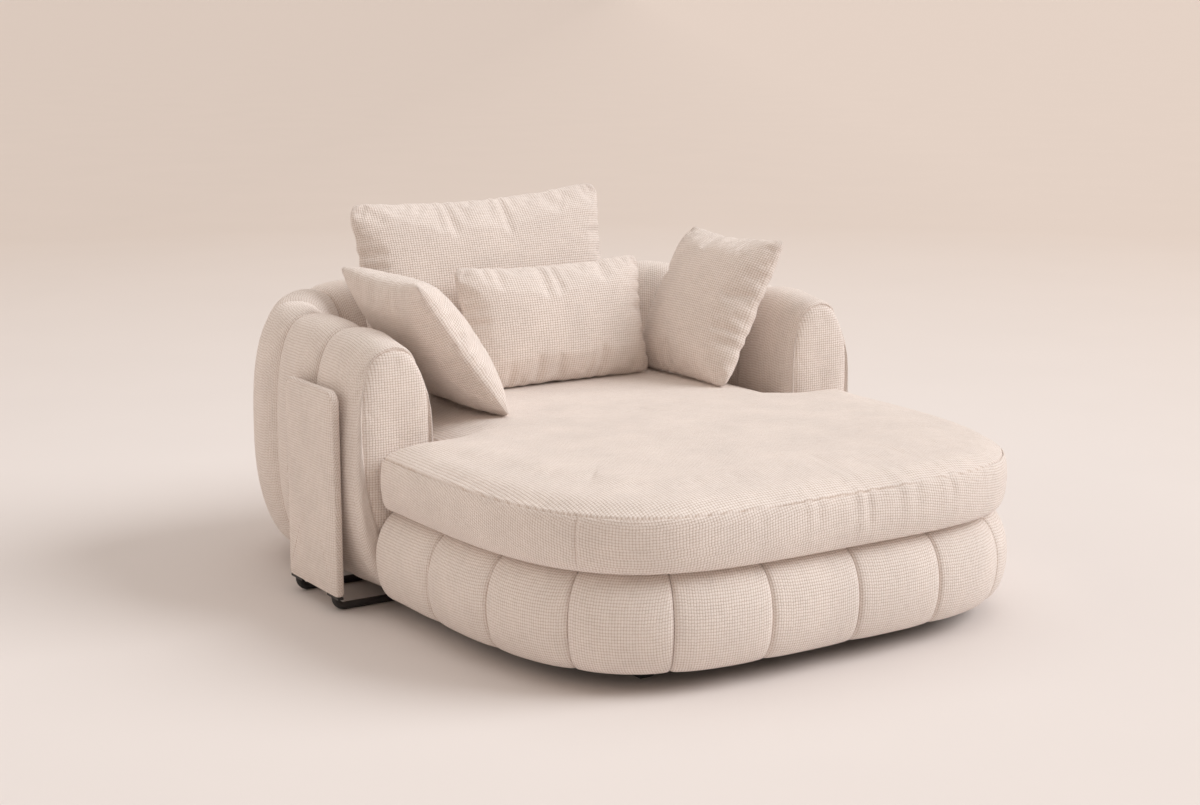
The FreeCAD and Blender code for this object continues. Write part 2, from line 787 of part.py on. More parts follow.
def stand_pillow(size, place, turn):
    """Cover, zip and filling of a pillow, turned and stood on the seat cushion."""
    outside = pillow_solid(size, 0.0)
    half_zip = pillow_zip_length / 2
    bottom = size[1] / 2
    slit_low = Vector(-half_zip, -pillow_zip_width / 2, -bottom)
    slit_high = Vector(half_zip, pillow_zip_width / 2, -bottom / 2)
    cover, closure = zipped_cover(outside, pillow_solid(size, pillow_cover), slit_low, slit_high)
    pieces = [cover, closure, pillow_solid(size, pillow_cover + filling_gap)]
    outside.Placement = FreeCAD.Placement(Vector(place[0], place[1], 0), turn)
    lowest = min(point.z for point in outside.tessellate(1.0)[0])
    lift = cushion_top + rest_gap - lowest
    for piece in pieces:
        piece.Placement = FreeCAD.Placement(Vector(place[0], place[1], lift), turn)
    return pieces


def leaning_back(lean):
    return Rotation(Vector(1, 0, 0), -lean)


def leaning_out(lean, side):
    """Faces the middle of the seat and leans towards the arm on that side."""
    facing = Rotation(UP, -90 * side)
    return Rotation(Vector(0, 1, 0), lean * side) * facing


# All the pieces by name

def with_holes(shape, holes):
    return shape.cut(holes)


def build():
    nodes = {}
    panel_holes = panel_bolts(hole_gap)
    frame_holes = frame_bolts(hole_gap)
    left_names = ("arm_channel_front_left", "arm_channel_rear_left", "corner_channel_side_left",
                  "corner_channel_middle_left", "corner_channel_back_left", "back_channel_left")
    for index, name in enumerate(left_names):
        channel = with_holes(wrap_channel(seams[index], seams[index + 1]), panel_holes + frame_holes)
        nodes[name] = channel
        nodes[name.replace("left", "right")] = mirrored(channel)
    middle = len(left_names)
    nodes["back_channel_middle"] = with_holes(wrap_channel(seams[middle], seams[middle + 1]), frame_holes)
    front_panel = arm_front_panel()
    nodes["arm_front_panel_left"] = front_panel
    nodes["arm_front_panel_right"] = mirrored(front_panel)

    plates = [rib_plate(index) for index in range(wrap_channels + 1)]
    top_rail_top = top_rail_z + top_rail_height
    ribs = [between(plate, bottom_rail_z + bottom_rail_height, top_rail_z) for plate in plates]
    nodes["arm_back_ribs"] = group([with_holes(rib, frame_holes) for rib in ribs])
    nodes["arm_back_crown_formers"] = group([between(plate, top_rail_top, back_top) for plate in plates])
    nodes["arm_back_bottom_rail"] = wrap_rail(bottom_rail_width, bottom_rail_z, bottom_rail_height)
    nodes["arm_back_top_rail"] = wrap_rail(top_rail_width, top_rail_z, top_rail_height)
    mount = with_holes(side_mount_board(), panel_holes)
    nodes["side_mount_boards"] = group([mount, mirrored(mount)])

    screw_holes = plate_screws(hole_gap)
    core = panel_board()
    cover = with_holes(panel_outside().cut(core), panel_holes + screw_holes)
    core = with_holes(core, panel_holes + screw_holes)
    nodes["side_panel_cover_left"] = cover
    nodes["side_panel_cover_right"] = mirrored(cover)
    nodes["side_panel_board_left"] = core
    nodes["side_panel_board_right"] = mirrored(core)
    left_bolts = panel_bolts()
    nodes["side_panel_bolts"] = group(left_bolts + [mirrored(bolt) for bolt in left_bolts])
    nodes["frame_bolts"] = group(frame_bolts())

    under_holes = saddle_screws(hole_gap) + foot_screws(hole_gap)
    nodes["base_channel_pads"] = group([base_channel(index) for index in range(base_channels)])
    nodes["base_bottom_frame"] = with_holes(base_frame(bottom_frame_z), under_holes)
    nodes["base_top_frame"] = base_frame(top_frame_z)
    nodes["base_uprights"] = group(base_uprights())
    nodes["base_rails"] = group([with_holes(rail, frame_holes) for rail in base_rails()])
    nodes["long_webbing"] = group(long_webbing())
    nodes["cross_webbing"] = group(cross_webbing())
    nodes["deck_pad"] = deck_slab(deck_bottom, cushion_bottom - rest_gap - deck_bottom)
    nodes["dust_cover"] = with_holes(deck_slab(foot_height, dust_cover, dust_cover), under_holes)

    bar_holes = screw_holes + [mirrored(hole) for hole in screw_holes]
    for name, y in zip(("front_runner", "rear_runner"), runner_places):
        nodes[name] = with_holes(runner(y), bar_holes)
    left_screws = plate_screws()
    nodes["runner_plate_screws"] = group(left_screws + [mirrored(screw) for screw in left_screws])
    left_saddles = [saddle(y) for y in runner_places]
    saddles = left_saddles + [mirrored(block) for block in left_saddles]
    nodes["runner_saddles"] = group([with_holes(block, under_holes) for block in saddles])
    nodes["saddle_screws"] = group(saddle_screws())
    feet = [foot(side * x, y) for x, y in feet_places for side in (-1, 1)]
    nodes["block_feet"] = group([with_holes(block, under_holes) for block in feet])
    nodes["foot_screws"] = group(foot_screws())

    cover, closure, filling = seat_cushion()
    nodes["seat_cushion_cover"] = cover
    nodes["seat_cushion_zip"] = closure
    nodes["seat_cushion_filling"] = filling
    left_turn = leaning_out(left_throw_lean, -1)
    right_turn = leaning_out(right_throw_lean, 1)
    pillows = (("back_pillow", back_pillow_size, back_pillow_place, leaning_back(back_pillow_lean)),
               ("lumbar_pillow", lumbar_pillow_size, lumbar_pillow_place, leaning_back(lumbar_pillow_lean)),
               ("throw_pillow_left", throw_pillow_size, left_throw_place, left_turn),
               ("throw_pillow_right", throw_pillow_size, right_throw_place, right_turn))
    for name, size, place, turn in pillows:
        cover, closure, filling = stand_pillow(size, place, turn)
        nodes[name + "_cover"] = cover
        nodes[name + "_zip"] = closure
        nodes[name + "_filling"] = filling
    return nodes


os.makedirs("parts", exist_ok=True)
for node, shape in build().items():
    if not shape.isValid() or not shape.Solids:
        raise ValueError(f"{node} is not a sound solid")
    print(f"{node}: {len(shape.Solids)} solids, {shape.Volume / 1e6:.3f} litres")
    shape.exportStep(f"parts/{node}.step")
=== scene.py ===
import json
import math

import bpy
import numpy as np
from bpy.props import FloatProperty, FloatVectorProperty, IntProperty, PointerProperty
from bpy.types import Operator, Panel, PropertyGroup
from mathutils import Matrix, Vector


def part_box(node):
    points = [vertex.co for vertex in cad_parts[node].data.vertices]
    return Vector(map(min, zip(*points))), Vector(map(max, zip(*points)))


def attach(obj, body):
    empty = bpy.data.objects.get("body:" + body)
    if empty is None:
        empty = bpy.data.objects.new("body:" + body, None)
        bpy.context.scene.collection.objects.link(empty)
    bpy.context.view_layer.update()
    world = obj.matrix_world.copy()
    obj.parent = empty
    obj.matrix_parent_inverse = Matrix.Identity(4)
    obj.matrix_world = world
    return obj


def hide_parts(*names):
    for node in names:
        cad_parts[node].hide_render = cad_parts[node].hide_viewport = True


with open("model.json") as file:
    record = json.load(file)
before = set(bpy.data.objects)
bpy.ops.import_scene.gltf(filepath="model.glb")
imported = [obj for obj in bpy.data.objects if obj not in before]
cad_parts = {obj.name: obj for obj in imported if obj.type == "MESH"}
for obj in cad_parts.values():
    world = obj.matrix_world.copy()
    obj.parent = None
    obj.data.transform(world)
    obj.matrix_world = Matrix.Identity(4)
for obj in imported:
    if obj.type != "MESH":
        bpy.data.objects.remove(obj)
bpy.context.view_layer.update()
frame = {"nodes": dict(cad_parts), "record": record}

bl_info = {
    "name": "Round-fronted chaise longue",
    "version": (1, 0, 0),
    "blender": (4, 5, 0),
    "location": "3D View > Sidebar > Chaise",
    "description": "Upholsters the chaise frame: channels, cushion, pillows, side panels and their finishes",
    "category": "Object",
}

# Plan of the padded wall that makes the arms and back, in metres, on its seams
WALL_HALF_WIDTH = 0.798
WALL_BACK = 0.956
WALL_CORNER = 0.400
WALL_FRONT = 0.050
WALL_CHANNELS = 13
WALL_CENTRE_X = WALL_HALF_WIDTH - WALL_CORNER
WALL_CENTRE_Y = WALL_BACK - WALL_CORNER
WALL_SIDE = WALL_CENTRE_Y - WALL_FRONT
WALL_BEND = WALL_CORNER * math.pi / 2
WALL_LENGTH = 2 * (WALL_SIDE + WALL_BEND + WALL_CENTRE_X)
WALL_INNER_HALF = 0.564
WALL_INNER_CORNER = 0.166

# Plan of the base and of the seat cushion, round in front
ARM_LINE = 0.020
BASE_HALF_WIDTH = 0.770
BASE_REACH = 0.970
BASE_POWER = 3.85
BASE_CHANNELS = 12
BASE_END = 0.0195
CUSHION_HALF_WIDTH = 0.750
CUSHION_REACH = 0.956
CUSHION_POWER = 3.94

WALL_NODES_LEFT = ("arm_channel_front_left", "arm_channel_rear_left", "corner_channel_side_left",
                   "corner_channel_middle_left", "corner_channel_back_left", "back_channel_left")
WALL_NODES = (WALL_NODES_LEFT + ("back_channel_middle",)
              + tuple(name.replace("left", "right") for name in reversed(WALL_NODES_LEFT)))
PILLOWS = ("back_pillow", "lumbar_pillow", "throw_pillow_left", "throw_pillow_right")


def size_property(name, default, description):
    """A size in metres."""
    return FloatProperty(name=name, default=default, unit="LENGTH", description=description)


def colour_property(name, default, description):
    """A colour without alpha."""
    return FloatVectorProperty(name=name, default=default, subtype="COLOR", size=3, description=description)


class ChaiseSizes(PropertyGroup):
    """Sizes of the upholstery that a user would change."""

    channel_swell: size_property("Channel swell", 0.014, "How far a channel stands proud of its seams")
    seam_pinch: size_property("Seam pinch", 0.006, "Extra depth of the crease right at a seam")
    wall_thickness: size_property("Wall thickness", 0.220,
                                  "Arms and back at their fattest height, at the seams")
    arm_height: size_property("Arm height", 0.704, "Seam height at the arm fronts")
    back_height: size_property("Back height", 0.745, "Seam height at the middle of the back")
    cushion_crown: size_property("Cushion crown", 0.046, "Rise of the seat cushion above its top seam")
    weave_pitch: size_property("Weave pitch", 0.0076, "Distance from one yarn to the next")
    puff_frames: IntProperty(name="Puff frames", default=20, min=1,
                             description="Frames that the cloth is blown up for")


class ChaiseColours(PropertyGroup):
    """Colours of the finishes."""

    yarn: colour_property("Yarn", (0.94, 0.855, 0.805), "Top of the yarns of the cover")
    # Painted shade: colour of the gaps between the yarns of the cover
    yarn_gap_painted_shade: colour_property("Yarn shade", (0.55, 0.41, 0.32), "Between the yarns of the cover")
    lining: colour_property("Lining", (0.66, 0.59, 0.52), "Plain cloth over the deck")
    plywood: colour_property("Plywood", (0.55, 0.38, 0.22), "Boards of the frame")
    webbing: colour_property("Webbing", (0.025, 0.022, 0.020), "Straps under the deck")
    black: colour_property("Black", (0.012, 0.011, 0.011), "Coating of the runners and feet")
    zinc: colour_property("Zinc", (0.56, 0.57, 0.58), "Bolts and screws")
    floor: colour_property("Floor", (0.815, 0.765, 0.745), "Floor near the chaise")
    backdrop: colour_property("Backdrop", (0.745, 0.617, 0.535),
                              "What is seen above the far edge of the floor")
    # Painted shade: the floor's colour far from the chaise, darker than near it
    distance: colour_property("Distance", (0.70, 0.615, 0.56), "Floor far from the chaise")


# Outlines and meshes

def arc_points(centre, radius, start, end, count):
    """Points of an arc between two angles in degrees."""
    angles = np.radians(np.linspace(start, end, count))
    return np.column_stack([centre[0] + radius * np.cos(angles), centre[1] + radius * np.sin(angles)])


def lengths(line):
    """Length along a line at each of its points."""
    return np.concatenate([[0], np.cumsum(np.linalg.norm(np.diff(line, axis=0), axis=1))])


def ring_lengths(ring):
    """Length along a closed ring, with the whole length as a last value."""
    steps = np.linalg.norm(np.roll(ring, -1, axis=0) - ring, axis=1)
    return np.concatenate([[0], np.cumsum(steps)])


def at_lengths(line, reached, wanted):
    """Points of a line at the wanted lengths along it."""
    return np.column_stack([np.interp(wanted, reached, line[:, k]) for k in range(line.shape[1])])


def evenly(points, count, closed):
    """The same line as evenly spaced points."""
    line = np.vstack([points, points[:1]]) if closed else np.asarray(points)
    reached = lengths(line)
    wanted = np.linspace(0, reached[-1], count + 1)[:-1] if closed else np.linspace(0, reached[-1], count)
    return at_lengths(line, reached, wanted)


def eased(steps):
    """Shares from 0 to 1, close together at both ends."""
    return (1 - np.cos(np.linspace(0, math.pi, steps + 1))) / 2


def level(plan, height):
    """Points in plan, all at one height."""
    return np.column_stack([plan, np.full(len(plan), height)])


def outward(points):
    """Unit normals that point out of a closed line drawn anticlockwise."""
    along = np.roll(points, -1, axis=0) - np.roll(points, 1, axis=0)
    normal = np.column_stack([along[:, 1], -along[:, 0]])
    return normal / np.linalg.norm(normal, axis=1)[:, None]


def cover(name, points, faces, uv):
    """A closed mesh with the weave's own UV map in metres."""
    mesh = bpy.data.meshes.new(name)
    mesh.from_pydata(points.tolist(), [], faces)
    mesh.uv_layers.new(name="weave").data.foreach_set("uv", uv.ravel())
    piece = bpy.data.objects.new(name, mesh)
    bpy.context.scene.collection.objects.link(piece)
    face_outwards(piece)
    return piece


def ring_piece(name, rings, flat=None):
    """A cover through rings of points, capped at both ends.

    flat says for each strip between two rings which axes lie in its plane, or None for a strip whose
    weave runs along the ring."""
    rings = np.asarray(rings, dtype=float)
    count, columns = rings.shape[:2]
    points = np.vstack([rings.reshape(-1, 3), rings[0].mean(0), rings[-1].mean(0)])
    column = np.arange(columns)
    after = (column + 1) % columns
    faces = []
    uvs = []
    across = np.zeros(columns + 1)
    for row in range(count - 1):
        low, high = row * columns, (row + 1) * columns
        faces += np.column_stack([low + column, low + after, high + after, high + column]).tolist()
        axes = flat[row] if flat else None
        gap = np.linalg.norm(rings[row + 1] - rings[row], axis=1)
        gap = np.append(gap, gap[0])
        if axes is None:
            around = ring_lengths(rings[row])
            uv = np.stack([np.column_stack([around[:-1], across[:-1]]),
                           np.column_stack([around[1:], across[1:]]),
                           np.column_stack([around[1:], across[1:] + gap[1:]]),
                           np.column_stack([around[:-1], across[:-1] + gap[:-1]])], axis=1)
        else:
            here, there = rings[row][:, axes], rings[row + 1][:, axes]
            uv = np.stack([here, here[after], there[after], there], axis=1)
        uvs.append(uv.reshape(-1, 2))
        across = across + gap
    start, end = count * columns, count * columns + 1
    last = (count - 1) * columns
    faces += np.column_stack([after, column, np.full(columns, start)]).tolist()
    faces += np.column_stack([last + column, last + after, np.full(columns, end)]).tolist()
    for row, middle, order in ((0, start, (after, column)), (count - 1, end, (column, after))):
        axes = (flat[min(row, count - 2)] if flat else None) or (1, 2)
        ring = rings[row][:, axes]
        centre = np.repeat(points[middle][None, axes], columns, axis=0)
        uvs.append(np.stack([ring[order[0]], ring[order[1]], centre], axis=1).reshape(-1, 2))
    return cover(name, points, faces, np.concatenate(uvs))


def face_outwards(piece):
    """Turns the faces of a closed mesh the right way out."""
    mesh = piece.data
    mesh.calc_loop_triangles()
    points = coordinates(piece)
    corners = np.array([triangle.vertices[:] for triangle in mesh.loop_triangles])
    a, b, c = (points[corners[:, k]] for k in range(3))
    if np.einsum("ij,ij->i", a, np.cross(b, c)).sum() < 0:
        mesh.flip_normals()


def coordinates(piece):
    points = np.empty(len(piece.data.vertices) * 3)
    piece.data.vertices.foreach_get("co", points)
    return points.reshape(-1, 3)


def place_points(piece, points):
    piece.data.vertices.foreach_set("co", np.ascontiguousarray(points).ravel())
    piece.data.update()


CLOTH = {"quality": 6, "mass": 0.3, "tension_stiffness": 20, "compression_stiffness": 20,
         "bending_stiffness": 0.8, "air_damping": 4, "use_pressure": True}


def puff(pieces, pins, pressure, cap, frames, stretch=0.0):
    """Blows the covers up as cloth, held at their pinned points, and keeps the moves within the cap."""
    scene = bpy.context.scene
    starts = [coordinates(piece) for piece in pieces]
    for piece, held in zip(pieces, pins):
        group = piece.vertex_groups.new(name="seams")
        group.add([int(i) for i in np.flatnonzero(held)], 1.0, "REPLACE")
        cloth = piece.modifiers.new("Cloth", "CLOTH")
        for key, value in CLOTH.items():
            setattr(cloth.settings, key, value)
        cloth.settings.uniform_pressure_force = pressure
        cloth.settings.shrink_min = -stretch
        cloth.settings.vertex_group_mass = group.name
        cloth.settings.effector_weights.gravity = 0
        cloth.collision_settings.use_collision = False
        cloth.point_cache.frame_start = 1
        cloth.point_cache.frame_end = frames
    for step in range(1, frames + 1):
        scene.frame_set(step)
    graph = bpy.context.evaluated_depsgraph_get()
    blown = [coordinates(piece.evaluated_get(graph)) for piece in pieces]
    for piece, start, end in zip(pieces, starts, blown):
        piece.modifiers.clear()
        piece.vertex_groups.clear()
        move = end - start
        length = np.linalg.norm(move, axis=1)[:, None]
        place_points(piece, start + move * np.minimum(1, cap / np.maximum(length, 1e-9)))
    scene.frame_set(1)


def refine(piece):
    """Subdivides a finished cover once and shades it smooth."""
    bpy.ops.object.select_all(action="DESELECT")
    bpy.context.view_layer.objects.active = piece
    piece.select_set(True)
    smooth = piece.modifiers.new("Subdivision", "SUBSURF")
    smooth.levels = smooth.render_levels = 1
    smooth.use_limit_surface = False
    bpy.ops.object.modifier_apply(modifier=smooth.name)
    bpy.ops.object.shade_smooth()
    piece.select_set(False)


def dress(piece, body, nodes, cloth="weave"):
    """Hands a finished piece to the frame: its body, the nodes it stands for and its cloth."""
    piece.data.materials.clear()
    piece.data.materials.append(finish(cloth))
    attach(piece, body)
    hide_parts(*nodes)


def upholster(pieces, pins, nodes, fill, **air):
    """Blows up and finishes covers that stay on the frame, each in place of one node."""
    puff(pieces, pins, **air)
    for piece, node in zip(pieces, nodes):
        refine(piece)
        dress(piece, "chaise_frame", [node])


# Materials

def math_method(operation, reflected=False):
    """A method that adds one Math node to a strand."""
    def method(self, *others):
        return self.math(operation, *((*others, self) if reflected else (self, *others)))
    return method


class Strand:
    """A number that runs through a material: arithmetic on it adds Math nodes."""

    def __init__(self, finish, socket):
        self.finish = finish
        self.socket = socket

    def math(self, operation, *values):
        node = self.finish.node("ShaderNodeMath", {"operation": operation}, dict(enumerate(values)))
        return Strand(self.finish, node.outputs[0])

    __add__ = __radd__ = math_method("ADD")
    __sub__ = math_method("SUBTRACT")
    __rsub__ = math_method("SUBTRACT", reflected=True)
    __mul__ = __rmul__ = math_method("MULTIPLY")
    __truediv__ = math_method("DIVIDE")
    __mod__ = math_method("FLOORED_MODULO")
    __pow__ = math_method("POWER")
    floor = math_method("FLOOR")
    sine = math_method("SINE")

    def clamped(self):
        return self.math("MINIMUM", self.math("MAXIMUM", self, 0.0), 1.0)


class Nodes:
    """An emptied node tree that is filled node by node."""

    def __init__(self, tree):
        self.tree = tree
        tree.nodes.clear()

    def node(self, kind, settings=None, inputs=None):
        """Adds a node, sets it up, then fills its sockets with values or links."""
        node = self.tree.nodes.new(kind)
        for key, value in (settings or {}).items():
            setattr(node, key, value)
        for key, value in (inputs or {}).items():
            self.fill(node.inputs[key], value)
        return node

    def fill(self, socket, value):
        """Links a socket to a strand or another socket, or gives it a constant."""
        if isinstance(value, Strand):
            value = value.socket
        if isinstance(value, bpy.types.NodeSocket):
            self.tree.links.new(value, socket)
        else:
            socket.default_value = value


class Finish(Nodes):
    """A material with one Principled shader and the nodes that feed it."""

    def __init__(self, name):
        self.material = bpy.data.materials.new(name)
        self.material.use_nodes = True
        super().__init__(self.material.node_tree)
        self.shader = self.node("ShaderNodeBsdfPrincipled")
        self.node("ShaderNodeOutputMaterial", {}, {"Surface": self.shader.outputs[0]})

    def strand(self, kind, settings=None, inputs=None, output=0):
        return Strand(self, self.node(kind, settings, inputs).outputs[output])

    def axes(self, vector):
        """The three numbers of a vector."""
        parts = self.node("ShaderNodeSeparateXYZ", {}, {0: vector})
        return [Strand(self, socket) for socket in parts.outputs]

    def vector(self, x, y, z=0.0):
        return self.node("ShaderNodeCombineXYZ", {}, {0: x, 1: y, 2: z}).outputs[0]

    def noise(self, vector, scale, detail=2.0, rough=0.5):
        return self.strand("ShaderNodeTexNoise", {"noise_dimensions": "3D"},
                           {"Vector": vector, "Scale": scale, "Detail": detail, "Roughness": rough})

    def blend(self, share, low, high):
        """Colour from low to high."""
        return self.node("ShaderNodeMix", {"data_type": "RGBA"}, {0: share, 6: low, 7: high}).outputs[2]

    def scaled(self, colour, factor):
        """A colour made lighter or darker by a number."""
        grey = self.vector(factor, factor, factor)
        return self.node("ShaderNodeVectorMath", {"operation": "MULTIPLY"}, {0: colour, 1: grey}).outputs[0]

    def set(self, **sockets):
        """Constants and links of the shader, by socket name with spaces for underscores."""
        for key, value in sockets.items():
            self.fill(self.shader.inputs[key.replace("_", " ")], value)

    def bump(self, height, strength, distance):
        bump = self.node("ShaderNodeBump", {}, {"Height": height, "Strength": strength, "Distance": distance})
        self.set(Normal=bump.outputs[0])

    def object_place(self):
        return self.node("ShaderNodeTexCoord").outputs["Object"]


def rgba(colour):
    return (*colour, 1.0)


def weave_finish(sizes, colours):
    """Chunky cream basket weave: yarns that go over and under each other, with painted shade in the gaps
    between them, slubs and soft tonal patches.
    """
    cloth = Finish("cream basket weave")
    uv = cloth.node("ShaderNodeUVMap", {"uv_map": "weave"}).outputs[0]
    place = cloth.object_place()
    wander = cloth.noise(place, 35.0) - 0.5
    u, v, _ = cloth.axes(uv)
    across = u / sizes.weave_pitch + wander * 0.5
    along = v / (sizes.weave_pitch * 0.88) + wander * 0.4
    column, row = across.floor(), along.floor()
    over_u = ((across - column) * math.pi).sine()
    over_v = ((along - row) * math.pi).sine()
    parity = (column + row) % 2.0
    warp = (over_u ** 0.55) * (0.45 + 0.55 * over_v)
    weft = (over_v ** 0.55) * (0.45 + 0.55 * over_u)
    yarn = warp * parity + weft * (1.0 - parity)
    cell = cloth.strand("ShaderNodeTexWhiteNoise", {"noise_dimensions": "2D"},
                        {"Vector": cloth.vector(column, row)})
    slub = cloth.noise(cloth.vector(u * 12.0, v * 150.0), 1.0, 3.0)
    patch = cloth.noise(place, 9.0, 3.0, 0.55)
    fuzz = cloth.noise(place, 1300.0, 2.0, 0.7)
    height = yarn + fuzz * 0.35 + cell * 0.25
    # Painted shade in the gaps: the colour runs from the gap shade up to the yarn's own colour on the yarn
    # tops
    tone = (yarn * 1.15 + 0.02 + cell * 0.14 + fuzz * 0.12).clamped()
    colour = cloth.blend(tone, rgba(colours.yarn_gap_painted_shade), rgba(colours.yarn))
    lightness = 0.84 + slub * 0.12 + patch * 0.20
    cloth.set(Base_Color=cloth.scaled(colour, lightness), Roughness=0.82 + fuzz * 0.16)
    cloth.set(Sheen_Weight=0.25, Sheen_Roughness=0.6, Specular_IOR_Level=0.2)
    cloth.bump(height, 0.75, 0.0019)
    return cloth.material


def lining_finish(colours):
    """Plain tight cloth over the deck."""
    cloth = Finish("deck lining")
    place = cloth.object_place()
    x, y, _ = cloth.axes(place)
    threads = (x * 4200.0).sine() * (y * 4200.0).sine()
    patch = cloth.noise(place, 12.0, 3.0)
    colour = cloth.blend(threads * 0.5 + 0.5, rgba(colours.lining), (0.78, 0.71, 0.64, 1))
    cloth.set(Base_Color=cloth.scaled(colour, 0.85 + patch * 0.25), Roughness=0.86 + patch * 0.1)
    cloth.bump(threads, 0.3, 0.0006)
    return cloth.material


def plywood_finish(colours):
    """Birch-coloured board with long grain and a few darker lines."""
    wood = Finish("frame plywood")
    place = wood.object_place()
    x, y, z = wood.axes(place)
    grain = wood.noise(wood.vector(x * 9.0, y * 9.0, z * 130.0), 1.0, 5.0, 0.65)
    lines = wood.noise(wood.vector(x * 30.0, y * 30.0, z * 520.0), 1.0, 2.0)
    share = (grain * 1.3 - 0.2 + lines * 0.25).clamped()
    wood.set(Base_Color=wood.blend(share, (0.36, 0.22, 0.11, 1), rgba(colours.plywood)),
             Roughness=0.62 + lines * 0.2)
    wood.bump(grain, 0.2, 0.0008)
    return wood.material


def webbing_finish(colours):
    """Dark ribbed strap."""
    strap = Finish("deck webbing")
    place = strap.object_place()
    x, y, _ = strap.axes(place)
    ribs = (x * 2600.0).sine() * 0.5 + (y * 2600.0).sine() * 0.5
    strap.set(Base_Color=strap.blend(ribs * 0.5 + 0.5, rgba(colours.webbing), (0.075, 0.068, 0.06, 1)),
              Roughness=0.8 + ribs * 0.08)
    strap.bump(ribs, 0.5, 0.0008)
    return strap.material


def spun_cloth_finish():
    """Thin black spun cloth under the base, with its pressed dots."""
    cloth = Finish("spun dust cloth")
    place = cloth.object_place()
    x, y, _ = cloth.axes(place)
    dots = (x * 1900.0).sine() * (y * 1900.0).sine()
    fibre = cloth.noise(place, 420.0, 3.0)
    cloth.set(Base_Color=cloth.blend(fibre, (0.010, 0.010, 0.010, 1), (0.045, 0.043, 0.042, 1)),
              Roughness=0.85 + dots * 0.08)
    cloth.bump(dots * 0.6 + fibre, 0.4, 0.0006)
    return cloth.material


def coated_finish(name, colour, rough, grain_scale, depth):
    """Black coating with a fine texture and slightly worn tone."""
    coat = Finish(name)
    place = coat.object_place()
    grain = coat.noise(place, grain_scale, 3.0)
    patch = coat.noise(place, 18.0, 2.0)
    light = tuple(min(1.0, part * 2.6 + 0.006) for part in colour)
    coat.set(Base_Color=coat.blend(patch, rgba(colour), rgba(light)), Roughness=rough + grain * 0.18)
    coat.bump(grain, 0.35, depth)
    return coat.material


def zinc_finish(colours):
    """Plated steel with fine turned lines."""
    steel = Finish("zinc plate")
    place = steel.object_place()
    x, y, z = steel.axes(place)
    cloud = steel.noise(place, 160.0, 3.0)
    turned = ((x + y + z) * 9000.0).sine()
    steel.set(Base_Color=steel.blend(cloud, rgba(colours.zinc), (0.68, 0.67, 0.62, 1)),
              Roughness=0.3 + cloud * 0.2, Metallic=1.0)
    steel.bump(turned, 0.1, 0.0002)
    return steel.material


def zip_finish(colours):
    """Beige tape with a line of fine teeth."""
    tape = Finish("zip tape")
    place = tape.object_place()
    x, y, _ = tape.axes(place)
    teeth = (x * 2500.0).sine() + (y * 2500.0).sine()
    share = (teeth * 0.25 + 0.5).clamped()
    tape.set(Base_Color=tape.blend(share, (0.40, 0.31, 0.25, 1), rgba(colours.yarn)),
             Roughness=0.55 + share * 0.2)
    tape.bump(teeth, 0.5, 0.0006)
    return tape.material


FINISHES = {}


def finish(name):
    """A finish by name, made the first time it is asked for."""
    if name not in FINISHES:
        sizes = bpy.context.scene.chaise_sizes
        colours = bpy.context.scene.chaise_colours
        makers = {
            "weave": lambda: weave_finish(sizes, colours),
            "lining": lambda: lining_finish(colours),
            "plywood": lambda: plywood_finish(colours),
            "webbing": lambda: webbing_finish(colours),
            "dust_cloth": spun_cloth_finish,
            "black_metal": lambda: coated_finish("satin black coat", colours.black, 0.36, 700.0, 0.0003),
            "black_plastic": lambda: coated_finish("black moulded plastic", colours.black, 0.55, 420.0,
                                                   0.0006),
            "fasteners": lambda: zinc_finish(colours),
            "zip_tape": lambda: zip_finish(colours),
        }
        FINISHES[name] = makers[name]()
    return FINISHES[name]


# Arms and back

def wall_station(along):
    """Places on the outer seam line of the wall and the ways out of it."""
    along = np.asarray(along, dtype=float)
    mirrored = along > WALL_LENGTH / 2
    half = np.where(mirrored, WALL_LENGTH - along, along)
    turned = np.clip(half - WALL_SIDE, 0, WALL_BEND)
    angle = math.pi - turned / WALL_CORNER
    out = np.column_stack([np.cos(angle), np.sin(angle)])
    x = -WALL_CENTRE_X + WALL_CORNER * out[:, 0] + np.maximum(half - WALL_SIDE - WALL_BEND, 0)
    y = WALL_CENTRE_Y + WALL_CORNER * out[:, 1] - np.maximum(WALL_SIDE - half, 0)
    flip = np.where(mirrored, -1.0, 1.0)
    return np.column_stack([x * flip, y]), np.column_stack([out[:, 0] * flip, out[:, 1]])


def wall_height(along, sizes):
    share = np.minimum(along, WALL_LENGTH - along) / (WALL_LENGTH / 2)
    return sizes.arm_height + (sizes.back_height - sizes.arm_height) * share * share * (3 - 2 * share)


def oval(half_width, middle, top, bottom, fullness, count=112):
    """Rounded upright section as across and height, from the lowest point round over the top."""
    angle = np.linspace(-math.pi / 2, 1.5 * math.pi, 721)[:-1]
    c, s = np.cos(angle), np.sin(angle)
    power = np.where(s >= 0, 2 / fullness[0], 2 / fullness[1])
    rise = np.where(s >= 0, top - middle, middle - bottom)
    across = half_width * np.sign(c) * np.abs(c) ** power
    return evenly(np.column_stack([across, middle + rise * np.sign(s) * np.abs(s) ** power]), count, True)


# The wall's upright section and the rounded ends of the arms
WALL_FULLNESS = (2.6, 2.2)
WALL_MIDDLE = 0.370
WALL_BOTTOM = 0.048
ARM_ROUNDING = 0.032
ARM_FACE = 0.0205
ARM_END_SWELL = -0.003
ARM_SEAM = 0.009
SEAM_WIDTH = 0.005
SWELL_POWER = 3.2
SWELL_AT_FOOT = 0.3
ARM_RING_POWER = 1.5
ARM_FACE_LIMIT = ARM_FACE - 0.002

